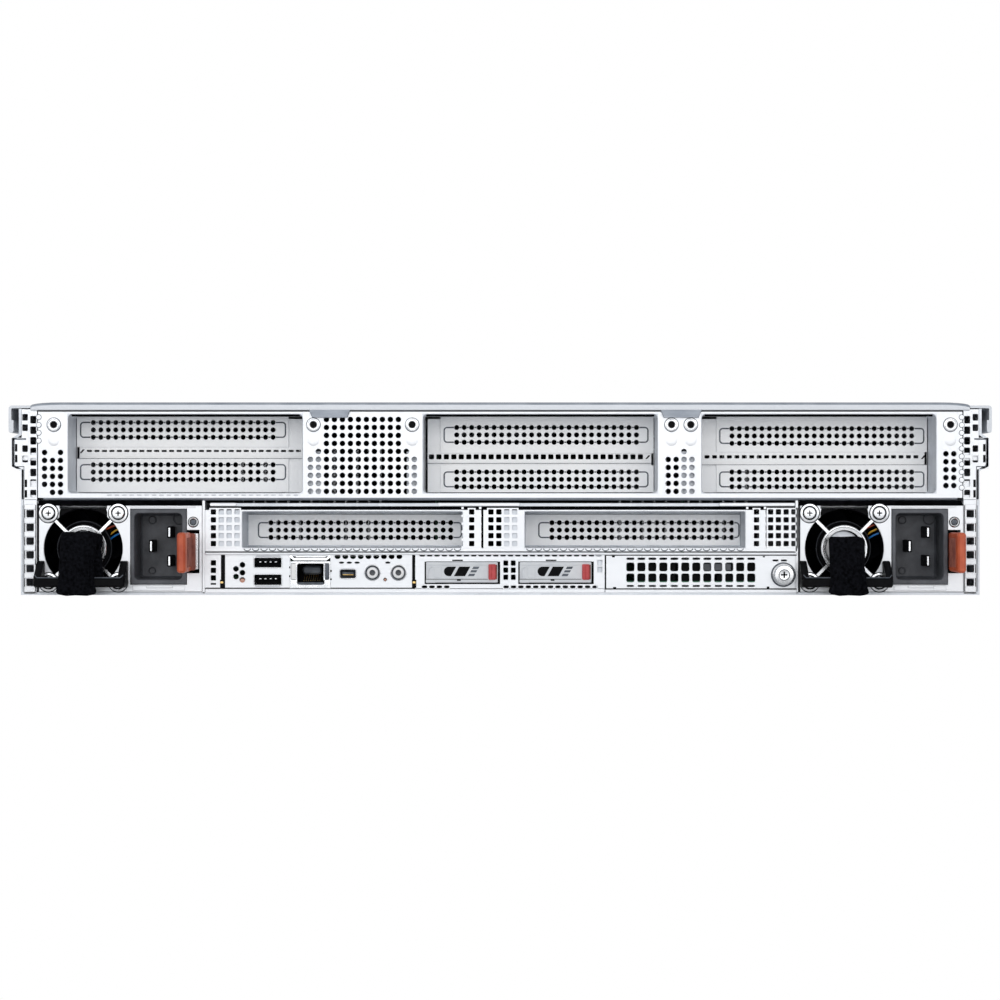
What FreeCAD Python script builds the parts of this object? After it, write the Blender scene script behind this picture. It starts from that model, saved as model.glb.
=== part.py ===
# Two-unit rack server, seen from behind as it stands in a rack.
# Millimetres. +Z is up, -Y is the rear panel, +Y is the front with the drives.
# The origin is the middle of the underside of the whole machine.
import FreeCAD, Part
import os
import re
import Sketcher

doc = FreeCAD.newDocument("rack_server")

sizes = {
    # whole machine
    "chassis_depth": 736,
    "tab_reach": 27,
    "front_reach": 27,
    "total_height": 87,
    "body_width": 433.2,
    "bulge_reach": 4.3,
    "neck_reach": 0.9,
    "cover_reach": 5.5,
    "bulge_drop": 31,
    "neck_drop": 16.3,
    "bend_rise": 2.2,
    "sheet": 1.2,
    "gap": 0.3,
    # removable cover
    "cover_drop": 1.4,
    "crown_inset": 10.6,
    "shoulder_inset": 4.6,
    "skirt_drop": 13.8,
    "fold_drop": 8,
    "hem": 2.2,
    "lip_drop": 3.6,
    "hook_left": -77,
    "hook_right": 81.7,
    "hook_width": 23.1,
    "hook_slant": 2.6,
    "hook_drop": 6.9,
    "drive_bay_depth": 163,
    # cover lever in its dish
    "dish_width": 84,
    "dish_length": 44,
    "dish_depth": 8.2,
    "dish_from_edge": 24,
    "lever_thickness": 4,
    "lever_lift": 2.88,
    "lever_nose": 2.6,
    "lever_pivot_inset": 3.4,
    "lever_rim": 2.5,
    # openings of the rear panel
    "rear_flange": 7.2,
    "frame_clearance": 0.6,
    "rear_frame_bottom": 42.7,
    "frame_drop": 4.2,
    "frame_chamfer": 3,
    "recess_depth": 25,
    "beam_bottom": 40,
    "beam_depth": 8,
    "window_width": 105.8,
    "window_left_inset": 13.6,
    "window_middle": -34.8,
    "window_right_inset": 11.9,
    "window_bottom": 46.1,
    "window_drop": 5.4,
    "vent_pitch": 7.2,
    "vent_hole": 5,
    "vent_columns": 7,
    "vent_columns_upper": 5,
    "vent_rows_lower": 3,
    "vent_rows_upper": 2,
    "vent_centre": -62.3,
    "vent_first_row": 48.6,
    "side_hole": 2.4,
    "side_hole_pitch": 4.77,
    "side_holes": 8,
    "side_hole_first": 45.8,
    "ladder_hole": 3.5,
    "ladder_pitch": 6.18,
    "ladder_holes": 6,
    "ladder_first": 5.9,
    "ladder_inset": 4,
    "side_hole_inset": 5.2,
    # slot covers with their rows of holes
    "cover_plate_width": 97,
    "cover_plate_height": 12,
    "cover_plate_thickness": 1,
    "slot_hole_pitch": 12.4,
    "slot_hole_width": 10,
    "slot_hole_height": 9,
    "slot_hole_columns": 7,
    "cover_inset_left": 49.2,
    "cover_inset_middle": 55.9,
    "cover_inset_right": 57,
    "left_cover_drop": 11.9,
    "left_cover_low": 55.8,
    "middle_cover_drop": 14.1,
    "middle_cover_low": 52.4,
    "right_cover_drop": 14.6,
    "right_cover_low": 52.5,
    # riser cages
    "riser_depth": 190,
    "riser_card_setback": 140,
    "riser_card_length": 46,
    "riser_card_thickness": 1.6,
    "slot_opening_width": 90,
    "slot_opening_height": 10,
    "captive_drop": 10.1,
    "captive_screw_radius": 2.9,
    "captive_screw_height": 0.9,
    "captive_inset": 6.6,
    # low slots
    "low_frame_bottom": 19.7,
    "low_frame_top": 38.9,
    "low_window_first": 16.8,
    "low_window_width": 99.4,
    "low_window_between": 28.3,
    "low_window_bottom": 21.5,
    "low_window_top": 37.2,
    "low_cover_z": 29.1,
    "low_cover_inset": 49.7,
    "square_hole": 2.4,
    "square_pitch": 3.57,
    "square_inset": 3.7,
    "block_hole": 4.8,
    "block_pitch": 6.2,
    "block_rows": 3,
    "block_first_row": 24.4,
    "block_inset": 5.2,
    "block_margin": 4.6,
    # input and output panel
    "io_width": 94.7,
    "io_top": 19.4,
    "light_hole": 2,
    "light_inset": 13.9,
    "light_pitch": 3.2,
    "usb_inset": 21.8,
    "usb_width": 12.9,
    "usb_height": 5.6,
    "usb_low": 3.5,
    "usb_high": 12,
    "usb_depth": 18,
    "usb_wall": 0.5,
    "usb_tongue": 1.8,
    "jack_inset": 39,
    "jack_width": 17.3,
    "jack_bottom": 3.1,
    "jack_top": 17.5,
    "jack_depth": 21,
    "jack_opening_width": 12.6,
    "jack_opening_bottom": 4,
    "jack_opening_top": 14.7,
    "jack_cavity": 15,
    "display_inset": 60.5,
    "display_width": 7.8,
    "display_height": 4.5,
    "display_bottom": 7.3,
    "display_depth": 12,
    "button_z": 10.1,
    "identify_inset": 75.5,
    "reset_inset": 87.4,
    "button_radius": 3.1,
    "button_length": 7,
    "button_proud": 1.6,
    # boot drives
    "boot_cage_width": 86,
    "boot_cage_depth": 112,
    "boot_bay_first": 4.6,
    "boot_bay_width": 33.8,
    "boot_bay_pitch": 42.3,
    "boot_bay_bottom": 5,
    "boot_bay_top": 15.1,
    "boot_bay_depth": 108,
    "boot_face": 2.6,
    "boot_latch_width": 5,
    "boot_latch_height": 7,
    "boot_latch_margin": 0.8,
    "boot_latch_thickness": 2.6,
    "boot_board_width": 22,
    "boot_board_length": 80,
    "boot_board_thickness": 1.6,
    # network card
    "card_top": 18,
    "card_length": 108,
    "card_board_z": 4.6,
    "card_board_thickness": 1.6,
    "card_board_inset": 8,
    "card_screw_side": 12.8,
    "card_socket_reach": 8,
    "card_sink_height": 9,
    "card_sink_length": 60,
    "card_sink_width": 56,
    "grille_hole": 8.4,
    "grille_pitch": 9.9,
    "grille_columns": 6,
    "grille_first_inset": 13.6,
    "grille_row": 10.2,
    "screw_inset": 5.9,
    "screw_z": 9.2,
    "screw_head_radius": 5,
    "screw_head_height": 5,
    "screw_radius": 1.8,
    "screw_length": 9,
    # power supplies
    "supply_width": 73.5,
    "supply_height": 38.8,
    "supply_depth": 185,
    "left_bay_margin": 1.1,
    "bay_roof_bottom": 41,
    "supply_skin": 0.8,
    "supply_fan_x": 19.9,
    "supply_fan_z": 19.5,
    "supply_fan_bore": 17.8,
    "supply_fan_width": 38.2,
    "supply_fan_depth": 28,
    "guard_ring": 10.5,
    "guard_strut": 1.4,
    "guard_band": 1.7,
    "supply_hub": 8.6,
    "supply_screw_low": 4.2,
    "supply_screw_high": 35.7,
    "supply_screw_drop": 3.3,
    "supply_blade_tip": 17.2,
    "supply_blade_chord": 12.9,
    "inlet_left": 41.2,
    "inlet_width": 25.2,
    "inlet_bottom": 3.2,
    "inlet_height": 34,
    "inlet_proud": 0.8,
    "inlet_depth": 24,
    "inlet_cavity_width": 21.7,
    "inlet_cavity_height": 29.6,
    "inlet_cavity_depth": 20,
    "blade_thickness": 2,
    "blade_height": 6.4,
    "blade_length": 16,
    "earth_from_left": 6.8,
    "live_from_left": 15.4,
    "live_spread": 12.8,
    "tab_left": 67.6,
    "tab_thickness": 3.8,
    "tab_bottom": 8.9,
    "tab_height": 18.1,
    "tab_inside": 13,
    "handle_width": 39,
    "handle_leg": 3,
    "handle_reach": 14,
    "handle_bar_radius": 2.1,
    "handle_bar_z": 4.4,
    "handle_lug_top": 13.9,
    "strap_width": 16,
    "strap_wall": 3,
    "strap_top": 27,
    # board and what stands on it
    "standoff_height": 4.8,
    "standoff_width": 6,
    "board_thickness": 1.6,
    "board_rear_inset": 24,
    "board_middle_inset": 118,
    "board_wide_inset": 196,
    "board_front_inset": 428,
    "board_side_inset": 9.6,
    "sink_width": 78,
    "sink_length": 108,
    "sink_height": 60,
    "sink_offset": 105,
    "sink_inset": 290,
    "sink_base": 8,
    "fin_thickness": 1.2,
    "fin_pitch": 6.4,
    "fins": 13,
    "socket_height": 4,
    "socket_width": 60,
    "stick_length": 133,
    "stick_thickness": 4,
    "stick_height": 33,
    "stick_pitch": 8.6,
    "sticks": 6,
    "stick_bank_outer": 155,
    "stick_bank_inner": 12,
    "supply_socket_length": 16,
    "supply_socket_width": 40,
    "supply_socket_height": 22,
    # system fans
    "fan_inset": 443,
    "fan_pitch": 104,
    "fan_clearance": 3.2,
    "fan_depth": 38,
    "fan_rim": 1.4,
    "fan_hub": 17,
    "fan_tip_clearance": 1,
    "fan_strut": 3,
    "fan_flange": 1.6,
    "rotor_length": 26,
    "fan_blades": 5,
    "mount_inset": 1.7,
    "blade_pitch_angle": 38,
    "blade_reach": 0.94,
    # front
    "front_set_back": 5,
    "carrier_pitch": 107.2,
    "carrier_width": 104.4,
    "carrier_bottom": 2.8,
    "carrier_height": 27,
    "carrier_wall": 1.2,
    "cage_wall": 1.4,
    "disk_width": 101.4,
    "disk_height": 24.6,
    "disk_length": 147,
    "bezel_thickness": 9,
    "bezel_slot": 9,
    "bezel_slot_pitch": 12,
    "bezel_slots": 7,
    "drive_lever_length": 84,
    "drive_lever_height": 11,
    "drive_lever_thickness": 5,
    "drive_lever_z": 9,
    "drive_lever_grip": 57,
    "drive_lever_grip_length": 13.5,
    "hood_sheet": 1.2,
    "backplane_thickness": 2.4,
    "backplane_height": 33,
    "front_vent_bottom": 33,
    "front_vent_slot": 18,
    "front_vent_slot_height": 36,
    "front_vent_pitch": 24,
    "front_vent_slots": 16,
    "ear_reach": 24.7,
    "ear_thickness": 3,
    "ear_clearance": 0.6,
    "ear_flange": 42,
    "ear_flange_bottom": 5.6,
    "ear_slot_inset": 8.75,
    "ear_slot_from_end": 5.4,
    "ear_slot_radius": 3.4,
    "ear_slot_length": 10.3,
    "slam_bottom": 14,
    "slam_top": 73,
    "slam_width": 20,
    "slam_wall": 2.4,
    "slam_knee": 14.9,
    "slam_crest": 8.5,
    "slam_shoulder": 18.9,
    "power_button_x": 196,
    "power_button_drop": 11,
    "power_button_radius": 5,
}

# Places worked out from the sizes.
places = {
    "rear": "tab_reach - (tab_reach + chassis_depth + front_reach) / 2",
    "front": "rear + chassis_depth",
    "face": "front - front_set_back",
    "recess": "rear + recess_depth",
    "half_body": "body_width / 2",
    "half_bulge": "half_body + bulge_reach",
    "half_neck": "half_body + neck_reach",
    "half_cover": "half_body + cover_reach",
    "half_crown": "half_body - crown_inset",
    "half_shoulder": "half_body - shoulder_inset",
    "half_opening": "half_body - rear_flange",
    "half_rear_frame": "half_opening - frame_clearance",
    "window_left": "window_left_inset - half_rear_frame",
    "window_right": "half_rear_frame - window_right_inset - window_width",
    "ladder_middle": "half_body - ladder_inset",
    "side_hole_middle": "half_body - side_hole_inset",
    "board_wide_half": "half_body - board_side_inset",
    "shoulder_z": "total_height - cover_drop",
    "bulge_bottom": "total_height - bulge_drop",
    "bulge_top": "total_height - neck_drop",
    "skirt_bottom": "total_height - skirt_drop",
    "skirt_fold": "total_height - fold_drop",
    "lip_bottom": "total_height - lip_drop",
    "hook_bottom": "total_height - hook_drop",
    "rear_frame_top": "total_height - frame_drop",
    "window_top": "total_height - window_drop",
    "captive_screw_z": "total_height - captive_drop",
    "power_button_z": "total_height - power_button_drop",
    "left_cover_high": "total_height - left_cover_drop",
    "middle_cover_high": "total_height - middle_cover_drop",
    "right_cover_high": "total_height - right_cover_drop",
    "ear_width": "body_width + ear_reach * 2",
    "ear_height": "total_height - ear_clearance",
    "cover_under": "shoulder_z - sheet",
    "wall_top": "cover_under - gap",
    "bay_back": "front - drive_bay_depth",
    "supply_left_x": "0 - half_opening + left_bay_margin",
    "supply_right_x": "half_opening - gap - supply_width",
    "supply_z": "sheet + gap",
    "mid_left": "supply_left_x + supply_width + gap + sheet",
    "mid_right": "supply_right_x - gap - sheet",
    "boot_left": "mid_left + io_width",
    "boot_middle": "(boot_bay_bottom + boot_bay_top) / 2",
    "card_left": "boot_left + boot_cage_width + gap",
    "card_right": "mid_right - gap",
    "board_bottom": "sheet + standoff_height",
    "board_top": "board_bottom + board_thickness",
    "roof_top": "rear_frame_bottom",
    "dish_front": "bay_back - gap - dish_from_edge",
    "dish_rear": "dish_front - dish_length",
    "dish_floor": "total_height - dish_depth",
    "lever_pivot_y": "dish_front - sheet - lever_pivot_inset",
    "lever_pivot_z": "dish_floor + sheet + gap + lever_lift",
    "handle_bar_y": "handle_bar_radius - handle_reach",
    "strap_outer": "handle_bar_radius + gap + strap_wall",
    "fan_rear": "rear + fan_inset",
    "fan_front": "fan_rear + fan_depth",
    "fan_width": "cover_under - sheet - fan_clearance",
    "fan_bore": "fan_width / 2 - fan_rim",
    "fan_tip": "fan_bore - fan_tip_clearance",
    "fan_top": "sheet + fan_width",
    "fan_middle_z": "sheet + fan_width / 2",
    "sink_rear": "rear + sink_inset",
}

low_windows = (
    "mid_left + low_window_first",
    "mid_left + low_window_first + low_window_width + low_window_between",
)
boot_bays = (
    "boot_left + boot_bay_first",
    "boot_left + boot_bay_first + boot_bay_pitch",
)

# For each plane: its role, the sign of an offset along its normal, and whether a pull is turned round.
planes = {
    "XY": ("XY_Plane", "", False),
    "XZ": ("XZ_Plane", "-", True),
    "YZ": ("YZ_Plane", "", False),
}
turns = {
    "x": FreeCAD.Rotation(FreeCAD.Vector(0, 1, 0), 90),
    "y": FreeCAD.Rotation(FreeCAD.Vector(1, 0, 0), -90),
    "z": FreeCAD.Rotation(),
}

table = doc.addObject("Spreadsheet::Sheet", "Sizes")
for line, (alias, number) in enumerate(sizes.items(), 1):
    table.set(f"A{line}", alias)
    table.set(f"B{line}", str(number))
    table.setAlias(f"B{line}", alias)
doc.recompute()

subparts = []


def formula(text):
    """A formula in the names above, written the way the document reads it."""
    def swap(match):
        word = match.group(0)
        if word in places:
            return "(" + formula(places[word]) + ")"
        if word in sizes:
            return "Sizes." + word
        return word
    return re.sub(r"[A-Za-z_]\w*", swap, str(text))


def bind(item, name, text):
    item.setExpression(name, formula(text))


def start(label, several=False):
    """An empty sub-part. With several, it holds solids that don't touch."""
    body = doc.addObject("PartDesign::Body", label)
    body.Label = label
    body.AllowCompound = several
    return body


def keep(item):
    subparts.append(item)
    return item


def seat(body, x, y, z):
    """Put a sub-part that was drawn round its own origin in its place."""
    bind(body, "Placement.Base.x", x)
    bind(body, "Placement.Base.y", y)
    bind(body, "Placement.Base.z", z)


def group(label, bodies):
    """Like pieces that share one file."""
    item = doc.addObject("Part::Compound", label)
    item.Label = label
    item.Links = bodies
    return keep(item)


def origin_part(body, role):
    return next(part for part in body.Origin.OriginFeatures if part.Role == role)


def block(body, x, y, z, cut=False):
    """A box from its low and high face along each axis."""
    kind = "PartDesign::SubtractiveBox" if cut else "PartDesign::AdditiveBox"
    item = body.newObject(kind, body.Label + ("_cut" if cut else "_block"))
    for side, letter, (low, high) in (("Length", "x", x), ("Width", "y", y), ("Height", "z", z)):
        bind(item, side, f"({high}) - ({low})")
        bind(item, "Placement.Base." + letter, low)
    body.Tip = item
    return item


def rod(body, axis, at, run, radius, cut=False):
    """A cylinder along an axis, at a place across it, over a run along it."""
    kind = "PartDesign::SubtractiveCylinder" if cut else "PartDesign::AdditiveCylinder"
    item = body.newObject(kind, body.Label + ("_bore" if cut else "_rod"))
    item.Placement = FreeCAD.Placement(FreeCAD.Vector(), turns[axis])
    across = [letter for letter in "xyz" if letter != axis]
    bind(item, "Placement.Base." + across[0], at[0])
    bind(item, "Placement.Base." + across[1], at[1])
    bind(item, "Placement.Base." + axis, run[0])
    bind(item, "Height", f"({run[1]}) - ({run[0]})")
    bind(item, "Radius", radius)
    body.Tip = item
    return item


def outline(body, plane, points, offset):
    """A closed outline of straight runs, each corner held by its two sizes."""
    role, sign, _ = planes[plane]
    sketch = body.newObject("Sketcher::SketchObject", body.Label + "_outline")
    sketch.AttachmentSupport = [(origin_part(body, role), "")]
    sketch.MapMode = "FlatFace"
    bind(sketch, "AttachmentOffset.Base.z", f"{sign}({offset})")
    count = len(points)
    for corner in range(count):
        here = FreeCAD.Vector(corner, corner * corner, 0)
        there = FreeCAD.Vector(corner + 1, (corner + 1) ** 2, 0)
        sketch.addGeometry(Part.LineSegment(here, there))
    for corner in range(count):
        sketch.addConstraint(Sketcher.Constraint("Coincident", corner, 2, (corner + 1) % count, 1))
    for corner, (across, up) in enumerate(points):
        for kind, text in (("DistanceX", across), ("DistanceY", up)):
            held = sketch.addConstraint(Sketcher.Constraint(kind, -1, 1, corner, 1, 1.0))
            bind(sketch, f"Constraints[{held}]", text)
    return sketch


def slab(body, plane, points, run, cut=False):
    """An outline pulled straight from the low to the high end of a run."""
    sketch = outline(body, plane, points, run[0])
    item = body.newObject("PartDesign::Pocket" if cut else "PartDesign::Pad", body.Label + "_slab")
    item.Profile = sketch
    bind(item, "Length", f"({run[1]}) - ({run[0]})")
    item.Reversed = planes[plane][2] != cut
    body.Tip = item
    return item


def turned(body, points):
    """A round solid about the sub-part's own Y axis, from radius and length pairs."""
    sketch = outline(body, "XY", points, "0")
    item = body.newObject("PartDesign::Revolution", body.Label + "_turned")
    item.Profile = sketch
    item.ReferenceAxis = (sketch, ["V_Axis"])
    item.Angle = 360
    body.Tip = item
    return item


def grid(body, cell, first, second=None):
    """Repeat a feature along one or two axes: each is axis, pitch and count."""
    item = body.newObject("PartDesign::LinearPattern", body.Label + "_grid")
    item.Originals = [cell]
    for ending, row in (("", first), ("2", second)):
        if row:
            axis, pitch, number = row
            setattr(item, "Direction" + ending, (origin_part(body, axis + "_Axis"), [""]))
            bind(item, "Length" + ending, f"({pitch}) * (({number}) - 1)")
            bind(item, "Occurrences" + ending, number)
    body.Tip = item
    return item


def holes(body, x, z, side, run, across, up):
    """Square holes through a plate that faces the rear: first centre, side, pitch and count."""
    half = f"({side}) / 2"
    low_x, high_x = f"({x}) - {half}", f"({x}) + {half}"
    low_z, high_z = f"({z}) - {half}", f"({z}) + {half}"
    cell = block(body, (low_x, high_x), run, (low_z, high_z), cut=True)
    return grid(body, cell, ("X",) + across, ("Z",) + up)


def mirrored(half):
    """An outline's points on the other side of the middle, in the opposite order."""
    return [("0 - (" + across + ")", up) for across, up in reversed(half)]


def through(low, high):
    """A run that starts and ends a sheet's thickness outside a plate."""
    return (f"({low}) - sheet", f"({high}) + sheet")


def chassis_pan():
    """Folded pan: floor, side walls with their bulge, rear flanges, supply bays and standoffs."""
    pan = start("chassis_pan")
    outer = [
        ("half_body", "0"), ("half_body", "bulge_bottom"),
        ("half_bulge", "bulge_bottom + bend_rise"), ("half_bulge", "bulge_top"),
        ("half_neck", "bulge_top + bend_rise"), ("half_neck", "wall_top"),
    ]
    inner = [
        ("half_neck - sheet", "wall_top"), ("half_neck - sheet", "bulge_top + bend_rise - sheet / 2"),
        ("half_bulge - sheet", "bulge_top - sheet / 2"),
        ("half_bulge - sheet", "bulge_bottom + bend_rise + sheet / 2"),
        ("half_body - sheet", "bulge_bottom + sheet / 2"), ("half_body - sheet", "sheet"),
    ]
    slab(pan, "XZ", outer + inner + mirrored(outer + inner), ("rear", "front - ear_thickness"))
    flanges = (("half_opening", "half_body - sheet / 2"), ("sheet / 2 - half_body", "0 - half_opening"))
    for low, high in flanges:
        block(pan, (low, high), ("rear", "rear + sheet"), ("sheet / 2", "wall_top"))
    for sign in ("", "0 - "):
        holes(pan, sign + "side_hole_middle", "side_hole_first", "side_hole",
              through("rear", "rear + sheet"), ("0", "1"), ("side_hole_pitch", "side_holes"))
        holes(pan, sign + "ladder_middle", "ladder_first", "ladder_hole",
              through("rear", "rear + sheet"), ("0", "1"), ("ladder_pitch", "ladder_holes"))
    bay = ("rear", "rear + supply_depth")
    block(pan, ("mid_left - sheet", "mid_left"), bay, ("sheet / 2", "roof_top"))
    block(pan, ("mid_right", "mid_right + sheet"), bay, ("sheet / 2", "roof_top"))
    block(pan, ("sheet / 2 - half_body", "mid_left"), bay, ("bay_roof_bottom", "roof_top"))
    block(pan, ("mid_right", "half_body - sheet / 2"), bay, ("bay_roof_bottom", "roof_top"))
    corner_x, corner_y = "standoff_width * 2 - board_wide_half", "rear + board_wide_inset + standoff_width * 2"
    post = block(pan, (corner_x, f"{corner_x} + standoff_width"), (corner_y, f"{corner_y} + standoff_width"),
                 ("sheet / 2", "board_bottom"))
    grid(pan, post, ("X", "(board_wide_half * 2 - standoff_width * 5) / 4", "5"),
         ("Y", "(board_front_inset - board_wide_inset - standoff_width * 5) / 2", "3"))
    return keep(pan)


def rear_frame():
    """Upper rear plate with three slot windows, their side walls, vents and rolled lower lip."""
    plate = start("rear_frame")
    corner = [
        ("half_rear_frame - frame_chamfer", "rear_frame_bottom"),
        ("half_rear_frame", "rear_frame_bottom + frame_chamfer"),
        ("half_rear_frame", "rear_frame_top"),
    ]
    slab(plate, "XZ", corner + mirrored(corner), ("rear", "rear + sheet"))
    block(plate, ("0 - half_rear_frame", "half_rear_frame"), ("rear", "rear + beam_depth"),
          ("rear_frame_top - sheet", "rear_frame_top"))
    block(plate, ("mid_left", "mid_right"), ("rear", "rear + beam_depth"),
          ("beam_bottom", "rear_frame_bottom + sheet"))
    for left in ("window_left", "window_middle", "window_right"):
        block(plate, (f"{left} - sheet", f"{left} + window_width + sheet"), ("rear", "recess"),
              ("window_bottom - sheet", "window_top + sheet"))
        block(plate, (left, f"{left} + window_width"), ("rear - sheet", "recess + sheet"),
              ("window_bottom", "window_top"), cut=True)
    run = through("rear", "rear + sheet")
    centre = "vent_centre - vent_pitch * ({0} - 1) / 2"
    holes(plate, centre.format("vent_columns"), "vent_first_row", "vent_hole", run,
          ("vent_pitch", "vent_columns"), ("vent_pitch", "vent_rows_lower"))
    upper = "vent_first_row + vent_pitch * vent_rows_lower"
    holes(plate, centre.format("vent_columns_upper"), upper, "vent_hole", run,
          ("vent_pitch", "vent_columns_upper"), ("vent_pitch", "vent_rows_upper"))
    holes(plate, "(window_right + window_middle + window_width) / 2 - vent_pitch / 2",
          "vent_first_row", "vent_hole", run, ("vent_pitch", "2"), ("vent_pitch", "3"))
    return keep(plate)


def riser_cage(label, left, inset, heights, card_side):
    """Folded cage behind a window: rear wall with two slots, sides, top, and the riser card."""
    cage = start(label, several=True)
    low, high = f"{left} + gap", f"{left} + window_width - gap"
    top = "window_top - gap"
    back = "recess + riser_depth"
    block(cage, (low, high), ("recess", back), ("window_bottom + gap", top))
    block(cage, (f"{low} + sheet", f"{high} - sheet"), ("recess + sheet", f"{back} + sheet"),
          ("window_bottom", f"{top} - sheet"), cut=True)
    for height in heights:
        middle = f"{left} + {inset}"
        block(cage, (f"{middle} - slot_opening_width / 2", f"{middle} + slot_opening_width / 2"),
              through("recess", "recess + sheet"),
              (f"{height} - slot_opening_height / 2", f"{height} + slot_opening_height / 2"), cut=True)
    face = f"{low} + sheet" if card_side == "left" else f"{high} - sheet - riser_card_thickness"
    block(cage, (face, f"{face} + riser_card_thickness"),
          ("recess + riser_card_setback", "recess + riser_card_setback + riser_card_length"),
          ("board_top", f"{top} - sheet"))
    return keep(cage)


def slot_cover(number, middle, height):
    """One slot cover: a flat plate with a row of tall vent holes."""
    plate = start(f"slot_cover_{number}")
    block(plate, ("0 - cover_plate_width / 2", "cover_plate_width / 2"), ("0 - cover_plate_thickness", "0"),
          ("0 - cover_plate_height / 2", "cover_plate_height / 2"))
    edge = "0 - slot_hole_pitch * (slot_hole_columns - 1) / 2"
    cell = block(plate, (f"{edge} - slot_hole_width / 2", f"{edge} + slot_hole_width / 2"),
                 ("0 - cover_plate_thickness - sheet", "sheet"),
                 ("0 - slot_hole_height / 2", "slot_hole_height / 2"), cut=True)
    grid(plate, cell, ("X", "slot_hole_pitch", "slot_hole_columns"))
    seat(plate, middle, "recess", height)
    return plate


def slot_covers():
    covers = []
    for left, inset, heights in (
        ("window_left", "cover_inset_left", ("left_cover_high", "left_cover_low")),
        ("window_middle", "cover_inset_middle", ("middle_cover_high", "middle_cover_low")),
        ("window_right", "cover_inset_right", ("right_cover_high", "right_cover_low")),
    ):
        for height in heights:
            covers.append(slot_cover(len(covers) + 1, f"{left} + {inset}", height))
    for left in low_windows:
        covers.append(slot_cover(len(covers) + 1, f"{left} + low_cover_inset", "low_cover_z"))
    return group("slot_covers", covers)


def riser_screws():
    """Captive screw heads, one each side of each window."""
    screws = []
    for place in (
        "window_left - captive_inset", "window_left + window_width + captive_inset - sheet",
        "window_middle - captive_inset + sheet", "window_middle + window_width + captive_inset",
        "window_right - captive_inset + sheet", "window_right + window_width + captive_inset",
    ):
        screw = start(f"riser_screw_{len(screws) + 1}")
        rod(screw, "y", ("0", "0"), ("0 - captive_screw_height", "0"), "captive_screw_radius")
        seat(screw, place, "rear", "captive_screw_z")
        screws.append(screw)
    return group("riser_screws", screws)


def lower_slot_frame():
    """Plate round the two low slots, with their recessed rear walls and square vents."""
    plate = start("lower_slot_frame")
    block(plate, ("mid_left", "mid_right"), ("rear", "rear + sheet"), ("low_frame_bottom", "low_frame_top"))
    block(plate, ("mid_left", "mid_right"), ("rear", "recess"),
          ("low_frame_bottom", "low_frame_bottom + sheet"))
    for left in low_windows:
        right = f"{left} + low_window_width"
        block(plate, (f"{left} - sheet", f"{right} + sheet"), ("rear", "recess + sheet"),
              ("low_window_bottom - sheet", "low_window_top + sheet"))
        block(plate, (left, right), ("rear - sheet", "recess"), ("low_window_bottom", "low_window_top"),
              cut=True)
        middle = f"{left} + low_cover_inset"
        block(plate, (f"{middle} - slot_opening_width / 2", f"{middle} + slot_opening_width / 2"),
              through("recess", "recess + sheet"),
              ("low_cover_z - slot_opening_height / 2", "low_cover_z + slot_opening_height / 2"), cut=True)
    run = through("rear", "rear + sheet")
    second = low_windows[1]
    for first, columns in (
        ("mid_left + block_inset", "2"),
        (f"{second} - block_margin - block_pitch", "2"),
        (f"{second} - low_window_between + block_margin", "1"),
        ("mid_right - block_inset - block_pitch", "2"),
    ):
        holes(plate, first, "block_first_row", "block_hole", run, ("block_pitch", columns),
              ("block_pitch", "block_rows"))
    return keep(plate)


def io_panel():
    """Rear plate for the ports, lights and two round buttons."""
    plate = start("io_panel")
    block(plate, ("mid_left", "boot_left"), ("rear", "rear + sheet"), ("sheet", "io_top"))
    block(plate, ("mid_left", "boot_left"), ("rear", "rear + beam_depth"), ("io_top - sheet", "io_top"))
    run = through("rear", "rear + sheet")
    usb = ("mid_left + usb_inset", "mid_left + usb_inset + usb_width")
    block(plate, usb, run, ("usb_low", "usb_low + usb_height"), cut=True)
    block(plate, usb, run, ("usb_high", "usb_high + usb_height"), cut=True)
    block(plate, ("mid_left + jack_inset", "mid_left + jack_inset + jack_width"), run,
          ("jack_bottom", "jack_top"), cut=True)
    block(plate, ("mid_left + display_inset", "mid_left + display_inset + display_width"), run,
          ("display_bottom", "display_bottom + display_height"), cut=True)
    for inset in ("identify_inset", "reset_inset"):
        rod(plate, "y", (f"mid_left + {inset}", "button_z"), run, "button_radius + gap", cut=True)
    holes(plate, "mid_left + light_inset", "button_z - light_pitch", "light_hole", run,
          ("light_pitch", "2"), ("light_pitch", "3"))
    holes(plate, "mid_left + square_inset", "button_z - square_pitch", "square_hole", run,
          ("0", "1"), ("square_pitch", "3"))
    return keep(plate)


def usb_ports():
    """Two stacked shells, each with its tongue."""
    ports = []
    for low in ("usb_low", "usb_high"):
        port = start(f"usb_port_{len(ports) + 1}")
        block(port, ("0", "usb_width"), ("0", "usb_depth"), ("0", "usb_height"))
        block(port, ("usb_wall", "usb_width - usb_wall"), ("0 - usb_wall", "usb_depth - usb_wall * 4"),
              ("usb_wall", "usb_height - usb_wall"), cut=True)
        block(port, ("usb_wall * 2", "usb_width - usb_wall * 2"), ("usb_wall * 2", "usb_depth - usb_wall"),
              ("usb_height / 2", "usb_height / 2 + usb_tongue"))
        seat(port, "mid_left + usb_inset", "rear", low)
        ports.append(port)
    return group("usb_ports", ports)


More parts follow.
